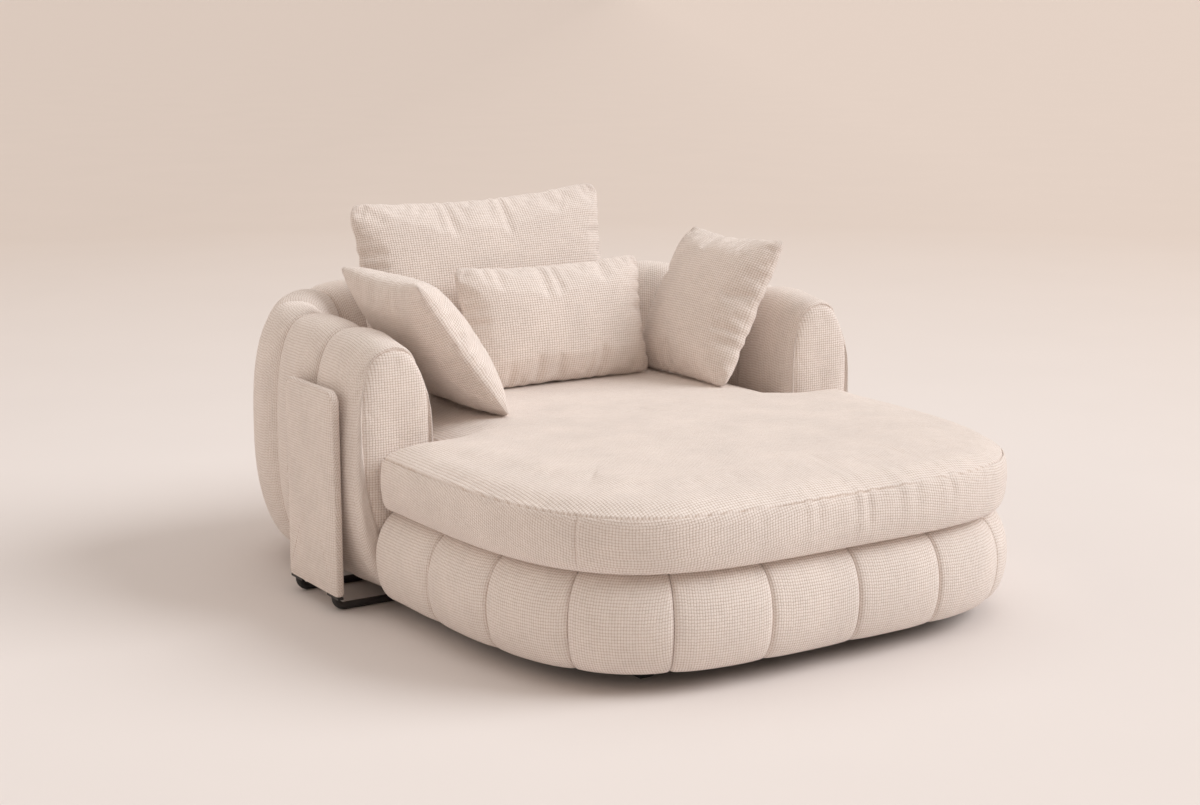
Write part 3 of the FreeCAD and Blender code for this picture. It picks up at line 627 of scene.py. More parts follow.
# The arched pad on an arm front
ARM_PANEL_INSET = 0.013
ARM_PANEL_DROP = 0.015
ARM_PANEL_MIDDLE = 0.480
ARM_PANEL_FOOT = 0.165
ARM_PANEL_FULLNESS = (2.5, 2.0)
ARM_PANEL_CENTRE = 0.46
ARM_PANEL_BACK = WALL_FRONT - 0.004
ARM_PANEL_FACE = ARM_FACE - 0.001
ARM_PANEL_FLATNESS = 16
ARM_PANEL_BACK_RINGS = 6
ARM_PANEL_FACE_RINGS = 14


def wall_section(along, swell, sizes):
    """Ring of points round the wall at one station."""
    place, out = wall_station([along])
    half = sizes.wall_thickness / 2
    shape = oval(half + swell, WALL_MIDDLE, wall_height(along, sizes) + swell,
                 WALL_BOTTOM + SWELL_AT_FOOT * (sizes.channel_swell - swell), WALL_FULLNESS)
    middle = place[0] - out[0] * half
    plan = middle + shape[:, :1] * out[0]
    return np.column_stack([plan, shape[:, 1]])


def crease(share, seam, length, depth, width):
    """How far a channel is drawn in round a seam, by share of its length."""
    return depth * np.exp(-(np.abs(share - seam) * length / width) ** 2)


def channel_swell(share, sizes, free_start=False, free_end=False):
    """How proud a channel stands between two seams, or up to the free end of an arm."""
    share = np.asarray(share, dtype=float)
    swell = sizes.channel_swell * (1 - np.abs(2 * share - 1) ** SWELL_POWER)
    if free_start:
        start = ARM_END_SWELL + (sizes.channel_swell - ARM_END_SWELL) * np.minimum(1, 2 * share)
        swell = np.where(share < 0.5, start, swell)
    if free_end:
        end = ARM_END_SWELL + (sizes.channel_swell - ARM_END_SWELL) * np.minimum(1, 2 - 2 * share)
        swell = np.where(share > 0.5, end, swell)
    return swell


def arm_panel_oval(sizes):
    """Outline of the arched pad on an arm front, narrower and higher than the arm at its foot."""
    half = sizes.wall_thickness / 2 + ARM_END_SWELL
    return oval(half - ARM_PANEL_INSET, ARM_PANEL_MIDDLE, sizes.arm_height + ARM_END_SWELL - ARM_PANEL_DROP,
                ARM_PANEL_FOOT, ARM_PANEL_FULLNESS)


def arm_end_rings(sizes, side, steps=9):
    """Rings from the arched pad's seam out over the rounded end of an arm."""
    along = 0.0 if side < 0 else WALL_LENGTH
    outer = wall_section(along, ARM_END_SWELL, sizes)
    panel = arm_panel_oval(sizes)
    middle = side * (WALL_HALF_WIDTH - sizes.wall_thickness / 2)
    inner = np.column_stack([middle + side * panel[:, 0], panel[:, 1]])
    line = outer[:, [0, 2]]
    reach = np.linalg.norm(inner - line, axis=1)
    rings = []
    for share in np.sin(np.linspace(math.pi / 2, 0, steps)) ** ARM_RING_POWER:
        inset = np.minimum(reach * share, ARM_ROUNDING)
        y = WALL_FRONT - np.sqrt(np.maximum(ARM_ROUNDING ** 2 - (ARM_ROUNDING - inset) ** 2, 0))
        plan = line + (inner - line) * share
        y = y + ARM_SEAM * np.exp(-((1 - share) * reach / SEAM_WIDTH) ** 2)
        rings.append(np.column_stack([plan[:, 0], np.maximum(y, ARM_FACE_LIMIT), plan[:, 1]]))
    return rings[:-1]


def wall_channel_rings(index, sizes, steps=16):
    """Rings of one channel from seam to seam."""
    length = WALL_LENGTH / WALL_CHANNELS
    share = eased(steps)
    first, last = index == 0, index == WALL_CHANNELS - 1
    swell = channel_swell(share, sizes, first, last)
    for seam, free in ((0.0, first), (1.0, last)):
        if not free:
            swell = swell - crease(share, seam, length, sizes.seam_pinch, SEAM_WIDTH)
    rings = [wall_section((index + part) * length, high, sizes) for part, high in zip(share, swell)]
    if first:
        rings = arm_end_rings(sizes, -1) + rings
    if last:
        rings = rings + arm_end_rings(sizes, 1)[::-1]
    return np.array(rings)


def pins_of(rings, held_rows):
    """Which points of a ring piece stay put: those of some rings, and the two cap points."""
    count, columns = np.asarray(rings).shape[:2]
    held = np.zeros((count, columns), dtype=bool)
    held[list(held_rows)] = True
    return np.append(held.ravel(), [True, True])


class CHAISE_OT_wall_channels(Operator):
    """Padded channels of the arms and back, blown up between their seams"""
    bl_idname = "chaise.wall_channels"
    bl_label = "Arm and back channels"

    def execute(self, context):
        sizes = context.scene.chaise_sizes
        pieces, pins = [], []
        for index, node in enumerate(WALL_NODES):
            rings = wall_channel_rings(index, sizes)
            pieces.append(ring_piece(node + "_upholstery", rings))
            pins.append(pins_of(rings, (0, 1, -2, -1)))
        upholster(pieces, pins, WALL_NODES, 0.85,
                  pressure=2.0, cap=0.004, frames=sizes.puff_frames, stretch=0.006)
        return {"FINISHED"}


def pad_scale(start, end, count):
    """Shares of the way from a rim to the middle, close together at the rim."""
    return start + (end - start) * np.linspace(0, 1, count) ** 1.6


class CHAISE_OT_arm_panels(Operator):
    """Arched pads on the fronts of the arms"""
    bl_idname = "chaise.arm_panels"
    bl_label = "Arm front panels"

    def execute(self, context):
        sizes = context.scene.chaise_sizes
        pieces, pins = [], []
        nodes = ("arm_front_panel_left", "arm_front_panel_right")
        for side, node in zip((-1, 1), nodes):
            rim = arm_end_rings(sizes, side)[0]
            centre = np.array([rim[:, 0].mean(), 0.0, ARM_PANEL_CENTRE])
            rings = []
            for share in pad_scale(0.05, 1.0, ARM_PANEL_BACK_RINGS):
                ring = centre + (rim - centre) * share
                ring[:, 1] = ARM_PANEL_BACK
                rings.append(ring)
            for share in 1 - pad_scale(0.0, 0.95, ARM_PANEL_FACE_RINGS):
                ring = centre + (rim - centre) * share
                lift = 1 - share ** ARM_PANEL_FLATNESS
                ring[:, 1] = rim[:, 1] * (1 - lift) + ARM_PANEL_FACE * lift
                rings.append(ring)
            rings = np.array(rings)
            pieces.append(ring_piece(node + "_upholstery", rings, [(0, 2)] * (len(rings) - 1)))
            pins.append(pins_of(rings, range(ARM_PANEL_BACK_RINGS + 2)))
        upholster(pieces, pins, nodes, 0.9, pressure=1.5, cap=0.003, frames=sizes.puff_frames)
        return {"FINISHED"}


# Base

def round_front(half_width, reach, power, count=2400):
    """Front outline from the left side round to the right."""
    angle = np.linspace(0, math.pi, count)
    c, s = np.cos(angle), np.sin(angle)
    x = -half_width * np.sign(c) * np.abs(c) ** (2 / power)
    return np.column_stack([x, -reach * np.abs(s) ** (2 / power)])


def base_stations(shares):
    """Places along the base's outline at shares of its length, and the ways out of it."""
    front = round_front(BASE_HALF_WIDTH, BASE_REACH, BASE_POWER)
    line = np.vstack([[-BASE_HALF_WIDTH, BASE_END], front, [BASE_HALF_WIDTH, BASE_END]])
    reached = lengths(line)
    whole = reached[-1]

    def at(share):
        return at_lengths(line, reached, share * whole)

    shares = np.asarray(shares, dtype=float)
    along = at(np.minimum(shares + BASE_CHORD, 1)) - at(np.maximum(shares - BASE_CHORD, 0))
    along /= np.linalg.norm(along, axis=1)[:, None]
    return at(shares), np.column_stack([along[:, 1], -along[:, 0]]), whole


# Section of the base's channels, their seams, and the rounded ends at the arms
BASE_TOP = 0.286
BASE_BOTTOM = 0.047
BASE_MIDDLE = 0.160
BASE_TUCK_ABOVE = 0.080
BASE_TUCK_BELOW = 0.054
BASE_SWELL = 0.006
BASE_SEAM_PINCH = 0.006
BASE_SEAM_WIDTH = 0.0035
BASE_SEAM_SHIFT = 0.11
BASE_PAD = 0.109
BASE_END_ROUNDING = 0.034
BASE_ROUNDNESS = 2.05
BASE_SWELL_HEIGHT = 0.12
BASE_SECTION_POINTS = 44
BASE_CHORD = 0.002


def base_profile():
    """Section of a base channel as distance out and height, from the inner face's foot round the outside."""
    quarter = np.radians(np.linspace(-90, 0, 13))
    power = 2 / BASE_ROUNDNESS
    low = np.column_stack([-BASE_TUCK_BELOW * (1 - np.cos(quarter) ** power),
                           BASE_MIDDLE - (BASE_MIDDLE - BASE_BOTTOM) * np.abs(np.sin(quarter)) ** power])
    high = np.column_stack([-BASE_TUCK_ABOVE * (1 - np.cos(quarter[::-1]) ** power),
                            BASE_MIDDLE + (BASE_TOP - BASE_MIDDLE) * np.abs(np.sin(quarter[::-1])) ** power])
    line = np.vstack([[-BASE_PAD, BASE_BOTTOM], low, high[1:], [-BASE_PAD, BASE_TOP]])
    return evenly(line, BASE_SECTION_POINTS, False)


def base_seam(number):
    """Share of the base's length at which a seam lies; those between channels sit a little to the right."""
    if number in (0, BASE_CHANNELS):
        return number / BASE_CHANNELS
    return (number + BASE_SEAM_SHIFT) / BASE_CHANNELS


def base_channel_rings(index, steps=18):
    """Rings of one base channel from seam to seam; the end channels are rounded at the arms."""
    share = eased(steps)
    start, end = (base_seam(number) for number in (index, index + 1))
    places, outs, whole = base_stations(start + (end - start) * share)
    length = whole * (end - start)
    ends = {0: 0.0, BASE_CHANNELS - 1: 1.0}
    swell = -BASE_SWELL * np.abs(2 * share - 1) ** SWELL_POWER
    for seam in (0.0, 1.0):
        swell = swell - crease(share, seam, length, BASE_SEAM_PINCH, BASE_SEAM_WIDTH)
    inset = np.zeros_like(share)
    if index in ends:
        apart = np.abs(share - ends[index]) * length
        near = np.maximum(BASE_END_ROUNDING - apart, 0)
        inset = BASE_END_ROUNDING - np.sqrt(BASE_END_ROUNDING ** 2 - near ** 2)
        swell = np.where(apart < length / 2, 0.0, swell)
    profile = base_profile()
    rings = []
    for place, out, dip, pull in zip(places, outs, swell, inset):
        shape = profile.copy()
        outer = np.clip((shape[:, 0] + BASE_PAD) / (BASE_PAD - BASE_TUCK_ABOVE), 0, 1)
        shape[:, 0] += outer * (dip - pull)
        shape[:, 1] += (np.sign(BASE_MIDDLE - shape[:, 1]) * outer * (pull - dip * SWELL_AT_FOOT)
                        * np.abs(shape[:, 1] - BASE_MIDDLE) / BASE_SWELL_HEIGHT)
        plan = place + shape[:, :1] * out
        rings.append(np.column_stack([plan, shape[:, 1]]))
    return np.array(rings)


class CHAISE_OT_base_channels(Operator):
    """Padded channels round the front of the base"""
    bl_idname = "chaise.base_channels"
    bl_label = "Base channels"

    def execute(self, context):
        sizes = context.scene.chaise_sizes
        pieces, pins = [], []
        for index in range(BASE_CHANNELS):
            rings = base_channel_rings(index)
            pieces.append(ring_piece(f"base_channel_{index + 1:02d}_upholstery", rings))
            held = np.zeros(rings.shape[:2], dtype=bool)
            held[[0, 1, -2, -1]] = True
            held[:, [0, 1, -2, -1]] = True
            pins.append(np.append(held.ravel(), [True, True]))
        upholster(pieces, pins, ["base_channel_pads"] * BASE_CHANNELS, 0.85,
                  pressure=1.5, cap=0.003, frames=sizes.puff_frames)
        return {"FINISHED"}


# Seat cushion and deck

def between_arms(half_front, front, ear_y, half, radius, ear=0.030, notch=0.020):
    """Plan that is round in front and fits between the arms behind, as one closed line."""
    right = [front[front[:, 0] >= 0]]
    if half_front > half + ear + notch:
        right = [front[(front[:, 0] >= 0) & (front[:, 1] <= ear_y - ear)]]
        right += [arc_points((half_front - ear, ear_y - ear), ear, 0, 90, 12),
                  arc_points((half + notch, ear_y + notch), notch, 270, 180, 10)]
    right += [arc_points((WALL_CENTRE_X, WALL_CENTRE_Y), radius, 0, 90, 24)]
    right = np.vstack(right)
    left = right[::-1] * (-1, 1)
    return np.vstack([right, left])


# Middle of the seat, the cushion's room to the arms and back, and the upright seams of its boxing band
SEAT_CENTRE = np.array([0.0, -0.06])
CUSHION_ROOM = 0.0170
BOXING_CREASE = 0.0055
BOXING_CREASE_WIDTH = 0.0038
BOXING_SEAM_CLEAR = 0.016
BOXING_SEAMS = ((-0.648, -0.775), (0.648, -0.775))
BOXING_SEAM_STEPS = (-0.012, -0.008, -0.0045, -0.0018, 0.0018, 0.0045, 0.008, 0.012)


def drawn_in(outline, share):
    """An outline of the seat at a share of its size."""
    return SEAT_CENTRE + (outline - SEAT_CENTRE) * share


def cushion_outline(count=540):
    """Closed plan of the cushion, with extra points where the boxing is sewn together."""
    front = round_front(CUSHION_HALF_WIDTH, CUSHION_REACH, CUSHION_POWER)
    line = between_arms(CUSHION_HALF_WIDTH, front, ARM_LINE - CUSHION_ROOM, WALL_INNER_HALF - CUSHION_ROOM,
                        WALL_INNER_CORNER - CUSHION_ROOM)
    fine = evenly(line, 12000, True)
    reached = ring_lengths(fine)
    wanted = list(np.linspace(0, reached[-1], count + 1)[:-1])
    for seam in BOXING_SEAMS:
        middle = reached[np.linalg.norm(fine - np.array(seam), axis=1).argmin()]
        wanted = [value for value in wanted if abs(value - middle) > BOXING_SEAM_CLEAR]
        wanted += [middle + step for step in BOXING_SEAM_STEPS] + [middle]
    wanted = np.sort(wanted)
    return at_lengths(np.vstack([fine, fine[:1]]), reached, wanted)


def edge_distance(points, outline):
    """How far points in plan are from an outline."""
    return np.array([np.linalg.norm(outline - point, axis=1).min() for point in points])


# Heights of the cushion, its boxing band as height and inset, and the rise of its top from the seam
CUSHION_BOTTOM = 0.290
CUSHION_SEAM = 0.421
CUSHION_BOXING = ((0.0, 0.010), (0.004, 0.004), (0.018, -0.003), (0.040, -0.0065), (0.062, -0.008),
                  (0.084, -0.0078), (0.106, -0.006), (0.119, -0.0036), (0.1265, -0.0012), (0.1302, 0.0012),
                  (0.1305, 0.0030), (0.1235, 0.0046))
CROWN_REACH = 0.30
CROWN_ROUND = 3.6
ROLL_REACH = 0.070
ROLL_SHARE = 0.50
CUSHION_DOME = 0.012
DOME_PLACE = -0.42
DOME_SPREAD = (0.50, 0.34)
CROWN_RINGS = 24
UNDERSIDE_RINGS = 7
SEAM_DIP = 0.0010
RIPPLE_DEPTH = 0.0050
RIPPLE_PLACE = 0.12
RIPPLE_SPREAD = 0.30
RIPPLE_LENGTH = 0.049
FOLD_RISE = 1.3
FOLD_REACH = 0.045


def ripples(along, outline):
    """Soft upright folds where the front of the cover is a little full."""
    strength = np.exp(-((outline[:, 0] - RIPPLE_PLACE) / RIPPLE_SPREAD) ** 2) * (outline[:, 1] < -0.5)
    strength = strength + 0.16 * (outline[:, 1] < -0.1)
    wave = np.sin(2 * math.pi * along / RIPPLE_LENGTH + 2.1 * np.sin(2 * math.pi * along / 0.37))
    wave = wave * (0.55 + 0.45 * np.sin(2 * math.pi * along / 0.143 + 0.8))
    return RIPPLE_DEPTH * strength * wave / 1.6


def boxing_crease(outline):
    """How far the boxing is drawn in where its lengths are sewn together."""
    pulled = np.zeros(len(outline))
    for seam in BOXING_SEAMS:
        apart = np.linalg.norm(outline - np.array(seam), axis=1)
        near = outline[apart.argmin()]
        apart = np.linalg.norm(outline - near, axis=1)
        pulled += BOXING_CREASE * np.exp(-(apart / BOXING_CREASE_WIDTH) ** 2)
    return pulled


def cushion_rings(sizes):
    """Rings from the middle of the underside, up the boxing and over the crown to the middle of the top."""
    outline = cushion_outline()
    out = outward(outline)
    ripple = ripples(ring_lengths(outline)[:-1], outline)
    crease = boxing_crease(outline)
    first = outline - out * CUSHION_BOXING[0][1]
    rings = [level(drawn_in(first, share), CUSHION_BOTTOM)
             for share in pad_scale(0.06, 0.98, UNDERSIDE_RINGS)]
    for height, inset in CUSHION_BOXING:
        share = height / CUSHION_BOXING[-1][0]
        pushed = inset - ripple * share + crease * min(1.0, 4 * share)
        rings.append(level(outline - out * pushed[:, None], CUSHION_BOTTOM + height))
    seam = outline - out * CUSHION_BOXING[-1][1]
    for share in 1 - pad_scale(0.0020, 0.945, CROWN_RINGS):
        plan = drawn_in(seam, share)
        apart = edge_distance(plan, outline)
        roll = 1 - np.maximum(1 - apart / ROLL_REACH, 0) ** 2
        crown = 1 - np.maximum(1 - apart / CROWN_REACH, 0) ** CROWN_ROUND
        crown = ROLL_SHARE * roll + (1 - ROLL_SHARE) * crown
        dome = CUSHION_DOME * np.exp(-(plan[:, 0] / DOME_SPREAD[0]) ** 2
                                     - ((plan[:, 1] - DOME_PLACE) / DOME_SPREAD[1]) ** 2)
        folds = ripple * FOLD_RISE * np.exp(-apart / FOLD_REACH)
        height = CUSHION_SEAM - SEAM_DIP + (sizes.cushion_crown - SEAM_DIP) * crown + dome * crown + folds
        rings.append(np.column_stack([plan, height]))
    flat = [(0, 1)] * (UNDERSIDE_RINGS - 1) + [None] * len(CUSHION_BOXING) + [(0, 1)] * CROWN_RINGS
    return np.array(rings), flat[:len(rings) - 1]


class CHAISE_OT_seat_cushion(Operator):
    """Loose boxed seat cushion with a soft crown"""
    bl_idname = "chaise.seat_cushion"
    bl_label = "Seat cushion"

    def execute(self, context):
        sizes = context.scene.chaise_sizes
        rings, flat = cushion_rings(sizes)
        piece = ring_piece("seat_cushion_upholstery", rings, flat)
        seam_row = UNDERSIDE_RINGS + len(CUSHION_BOXING) - 1
        pins = pins_of(rings, list(range(UNDERSIDE_RINGS + 1)) + [seam_row - 1, seam_row, seam_row + 1])
        puff([piece], [pins], pressure=1.2, cap=0.004, frames=sizes.puff_frames)
        refine(piece)
        dress(piece, "seat_cushion", ["seat_cushion_cover", "seat_cushion_filling", "seat_cushion_zip"])
        return {"FINISHED"}


# The deck lies inside the base's padding and clear of the arms; its rim is given as height and inset
DECK_INSET = 0.112
DECK_ROOM = 0.007
DECK_RIM = ((0.001, 0.003), (0.006, 0.0), (0.018, 0.0), (0.024, 0.002), (0.0265, 0.006))
DECK_UNDERSIDE_SHARES = (0.06, 0.5, 0.97)
DECK_TOP_SHARES = (0.98, 0.95, 0.85, 0.6, 0.3, 0.06)


class CHAISE_OT_deck(Operator):
    """Lined pad that the seat cushion lies on"""
    bl_idname = "chaise.deck"
    bl_label = "Deck"

    def execute(self, context):
        places, outs, _ = base_stations(np.linspace(0, 1, 200))
        front = places - outs * DECK_INSET
        line = between_arms(0.0, front, 0.0, WALL_INNER_HALF - DECK_ROOM, WALL_INNER_CORNER - DECK_ROOM)
        outline = evenly(line, 300, True)
        out = outward(outline)
        low, high = (corner[2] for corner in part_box("deck_pad"))
        rings = [level(drawn_in(outline, share), low) for share in DECK_UNDERSIDE_SHARES]
        rings += [level(outline - out * inset, low + height) for height, inset in DECK_RIM]
        rings += [level(drawn_in(outline, share), high) for share in DECK_TOP_SHARES]
        piece = ring_piece("deck_upholstery", rings, [(0, 1)] * (len(rings) - 1))
        refine(piece)
        dress(piece, "chaise_frame", ["deck_pad"], "lining")
        return {"FINISHED"}


# Side panels

# A panel's rounded corners, and its rim as distance out and inset, with the groove of its seam
PANEL_TOP_CORNER = 0.036
PANEL_FOOT_CORNER = 0.014
PANEL_RIM = ((0.0005, 0.0060), (0.0020, 0.0025), (0.0060, 0.0005), (0.0110, -0.0006), (0.0160, 0.0004),
             (0.0200, 0.0020), (0.0214, 0.0042), (0.0188, 0.0062), (0.0216, 0.0082), (0.0238, 0.0118),
             (0.0250, 0.0180))
PANEL_BACK_SHARES = (0.06, 0.5, 0.9, 0.98)
PANEL_FACE_SHARES = (0.95, 0.88, 0.75, 0.6, 0.4, 0.2, 0.06)
PANEL_FACE = 0.0256
PANEL_BULGE = 0.0012
PANEL_EDGE_STRIPS = 7
PANEL_HELD_RINGS = 13


def panel_outline(count=220):
    """Upright slab outline as depth and height, its upper corners rounder than its lower ones."""
    low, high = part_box("side_panel_cover_left")
    front, rear, foot, head = low[1], high[1], low[2], high[2]
    top, bottom = PANEL_TOP_CORNER, PANEL_FOOT_CORNER
    line = np.vstack([arc_points((front + bottom, foot + bottom), bottom, 180, 270, 10),
                      arc_points((rear - bottom, foot + bottom), bottom, 270, 360, 10),
                      arc_points((rear - top, head - top), top, 0, 90, 16),
                      arc_points((front + top, head - top), top, 90, 180, 16)])
    return evenly(line, count, True)


class CHAISE_OT_side_panels(Operator):
    """Upholstered slabs that stand outside the arms"""
    bl_idname = "chaise.side_panels"
    bl_label = "Side panels"

    def execute(self, context):
        sizes = context.scene.chaise_sizes
        outline = panel_outline()
        out = outward(outline)
        centre = outline.mean(0)
        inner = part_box("side_panel_cover_right")[0][0]
        levels = [(share, *PANEL_RIM[0]) for share in PANEL_BACK_SHARES]
        levels += [(1.0, height, inset) for height, inset in PANEL_RIM]
        levels += [(share, PANEL_FACE + PANEL_BULGE * (1 - share ** 4), PANEL_RIM[-1][1])
                   for share in PANEL_FACE_SHARES]
        flat = [(1, 2)] * len(PANEL_BACK_SHARES) + [None] * PANEL_EDGE_STRIPS
        flat += [(1, 2)] * (len(levels) - 1 - len(flat))
        pieces, pins = [], []
        nodes = ("side_panel_cover_left", "side_panel_cover_right")
        for side, node in zip((-1, 1), nodes):
            rings = []
            for share, height, inset in levels:
                plan = centre + (outline - out * inset - centre) * share
                rings.append(np.column_stack([np.full(len(plan), side * (inner + height)), plan]))
            pieces.append(ring_piece(node + "_upholstery", rings, flat))
            pins.append(pins_of(rings, range(PANEL_HELD_RINGS)))
        upholster(pieces, pins, nodes, 0.95, pressure=1.0, cap=0.0015, frames=sizes.puff_frames)
        return {"FINISHED"}


# Pillows

# Width, height and thickness of each pillow, its lean in degrees and what it leans on
PILLOW_SIZES = {"back_pillow": (0.820, 0.545, 0.165), "lumbar_pillow": (0.610, 0.350, 0.130),
                "throw_pillow_left": (0.455, 0.455, 0.140), "throw_pillow_right": (0.455, 0.455, 0.140)}
PILLOW_TURNS = {"back_pillow": (12.0, "back"), "lumbar_pillow": (12.0, "back"),
                "throw_pillow_left": (36.0, "left"), "throw_pillow_right": (27.0, "right")}

# How full a pillow is in front and behind, how its sides, head and foot draw in, and the gathers at its seam
PILLOW_FRONT = {"back_pillow": 1.05, "lumbar_pillow": 1.32, "throw_pillow_left": 1.42,
                "throw_pillow_right": 1.42}
PILLOW_PLUMP = 0.44
PILLOW_CORNER = 0.055
PILLOW_REAR = 0.94
PILLOW_RAISE = {"back_pillow": 0.0, "lumbar_pillow": 0.004, "throw_pillow_left": 0.006,
                "throw_pillow_right": 0.004}
PILLOW_SHEAR = 0.03
PILLOW_DRAW = (0.055, 0.100, 0.030)
PILLOW_SPACING = 0.0072
PILLOW_FRAMES = 24
PUCKER_LENGTH = 0.052
PUCKER_REACH = 0.040
PUCKER_DEPTH = 0.20
PUCKER_PULL = 0.0045


def pillow_turn(name):
    """Turn of a pillow that starts upright and faces -Y."""
    lean, way = PILLOW_TURNS[name]
    if way == "back":
        return Matrix.Rotation(math.radians(-lean), 3, "X")
    side = -1 if way == "left" else 1
    turn = Matrix.Rotation(math.radians(-90 * side), 3, "Z")
    return Matrix.Rotation(math.radians(lean * side), 3, "Y") @ turn


def plump_steps(half, thick):
    """Shares from edge to edge of a plump section, evenly spaced along its curve, and its lengths."""
    fine = np.sin(np.linspace(-math.pi / 2, math.pi / 2, 2001))
    curve = np.column_stack([half * fine, thick / 2 * np.sqrt(1 - fine ** 2)])
    length = np.linalg.norm(np.diff(curve, axis=0), axis=1).sum()
    count = int(round(length / PILLOW_SPACING))
    share = evenly(curve, count + 1, False)[:, 0] / half
    share[[0, -1]] = -1, 1
    return share, np.linspace(-length / 2, length / 2, count + 1)


def pucker(along, phase):
    """Uneven gathers along a seam, from 0 to 1."""
    wander = 1.9 * np.sin(2 * math.pi * along / 0.23 + 2 * phase)
    wave = np.sin(2 * math.pi * along / PUCKER_LENGTH + phase + wander)
    return (0.5 + 0.5 * wave) * (0.6 + 0.4 * np.sin(2 * math.pi * along / 0.17 + 3 * phase))


def pillow_blank(name, width, height, thick, phase):
    """Two plump panels sewn together round an edge that draws in between the corners, and its seam points."""
    across, way_across = plump_steps(width / 2, thick)
    up, way_up = plump_steps(height / 2, thick)
    columns, rows = len(across) - 1, len(up) - 1
    u, v = np.meshgrid(across, up)
    way_u, way_v = np.meshgrid(way_across, way_up)
    side, head, foot = PILLOW_DRAW
    grid_x = width / 2 * u * (1 - side * (1 - v ** 2) * np.abs(u) ** 3)
    grid_z = height / 2 * v * (1 - np.where(v > 0, head, foot) * (1 - u ** 2) * np.abs(v) ** 3)
    rise = thick / 2 * ((1 - u ** 2) * (1 - v ** 2)) ** PILLOW_PLUMP
    blunt = 1 - PILLOW_CORNER * np.abs(u * v) ** 9
    grid_x, grid_z = grid_x * blunt, grid_z * blunt
    near_u = np.exp(-(way_across[-1] - np.abs(way_u)) / PUCKER_REACH) * (1 - v ** 4)
    near_v = np.exp(-(way_up[-1] - np.abs(way_v)) / PUCKER_REACH) * (1 - u ** 4)
    gather_u = near_u * pucker(grid_z, phase + np.sign(u))
    gather_v = near_v * pucker(grid_x, phase + 2 * np.sign(v))
    rise = rise * (1 - PUCKER_DEPTH * np.minimum(1, gather_u + gather_v))
    grid_x = grid_x - np.sign(u) * PUCKER_PULL * gather_u
    grid_z = grid_z - np.sign(v) * PUCKER_PULL * gather_v
    front = np.stack([grid_x, -rise, grid_z], axis=2)
    back = np.stack([grid_x, rise, grid_z], axis=2)
    size = (rows + 1) * (columns + 1)
    index = np.arange(size).reshape(rows + 1, columns + 1)
    other = index + size
    rim = np.zeros_like(index, dtype=bool)
    rim[[0, -1]] = True
    rim[:, [0, -1]] = True
    other = np.where(rim, index, other)
    used = np.concatenate([np.arange(size), other[~rim]])
    renumber = np.full(2 * size, -1)
    renumber[used] = np.arange(len(used))
    points = np.vstack([front.reshape(-1, 3), back.reshape(-1, 3)])[used]

    def quads(numbers):
        return np.stack([numbers[:-1, :-1], numbers[:-1, 1:], numbers[1:, 1:], numbers[1:, :-1]],
                        axis=2).reshape(-1, 4)

    front_quads, back_quads = quads(index), quads(other)[:, ::-1]
    plane = np.stack([way_u, way_v], axis=2).reshape(-1, 2)
    uv = np.vstack([plane[quads(index)].reshape(-1, 2), plane[quads(index)[:, ::-1]].reshape(-1, 2)])
    faces = np.vstack([renumber[front_quads], renumber[back_quads]]).tolist()
    seam = np.concatenate([rim.ravel(), np.zeros(len(used) - size, dtype=bool)])
    return cover(name, points, faces, uv), seam


class CHAISE_OT_pillows(Operator):
    """Loose pillows, sewn plump, blown up and stood on the seat"""
    bl_idname = "chaise.pillows"
    bl_label = "Pillows"

    def execute(self, context):
        pieces, pins = [], []
        for phase, name in enumerate(PILLOWS):
            piece, seam = pillow_blank(name + "_upholstery", *PILLOW_SIZES[name], phase)
            pieces.append(piece)
            pins.append(seam)
        puff(pieces, pins, pressure=1.2, cap=0.010, frames=PILLOW_FRAMES, stretch=0.02)
        for name, piece in zip(PILLOWS, pieces):
            size = np.array(PILLOW_SIZES[name])[[0, 2, 1]]
            points = coordinates(piece)
            points -= (points.max(0) + points.min(0)) / 2
            points *= size / np.ptp(points, axis=0)
            points[:, 1] *= np.where(points[:, 1] < 0, PILLOW_FRONT[name], PILLOW_REAR)
            if name == "back_pillow":
                points[:, 2] += PILLOW_SHEAR * points[:, 0] * np.clip(points[:, 2] / size[2] * 2, 0, 1)
            low, high = (np.array(corner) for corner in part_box(name + "_cover"))
            turn = np.array(pillow_turn(name))
            place_points(piece, points @ turn.T + (low + high) / 2 + (0, 0, PILLOW_RAISE[name]))
            refine(piece)
            nodes = [f"{name}_{part}" for part in ("cover", "filling", "zip")]
            dress(piece, name, nodes)
        return {"FINISHED"}


class CHAISE_OT_carried_parts(Operator):
    """Finishes of the parts that come from the frame as they are"""
    bl_idname = "chaise.carried_parts"
    bl_label = "Frame, runners, feet and fasteners"

    def execute(self, context):
        for part in frame["record"]["subparts"]:
            slot = part["material_slot"]
            if slot in ("weave", "filling"):
                continue
            node = frame["nodes"][part["node"]]
            node.data.materials.clear()
            node.data.materials.append(finish(slot))
        return {"FINISHED"}


# Floor, light and camera

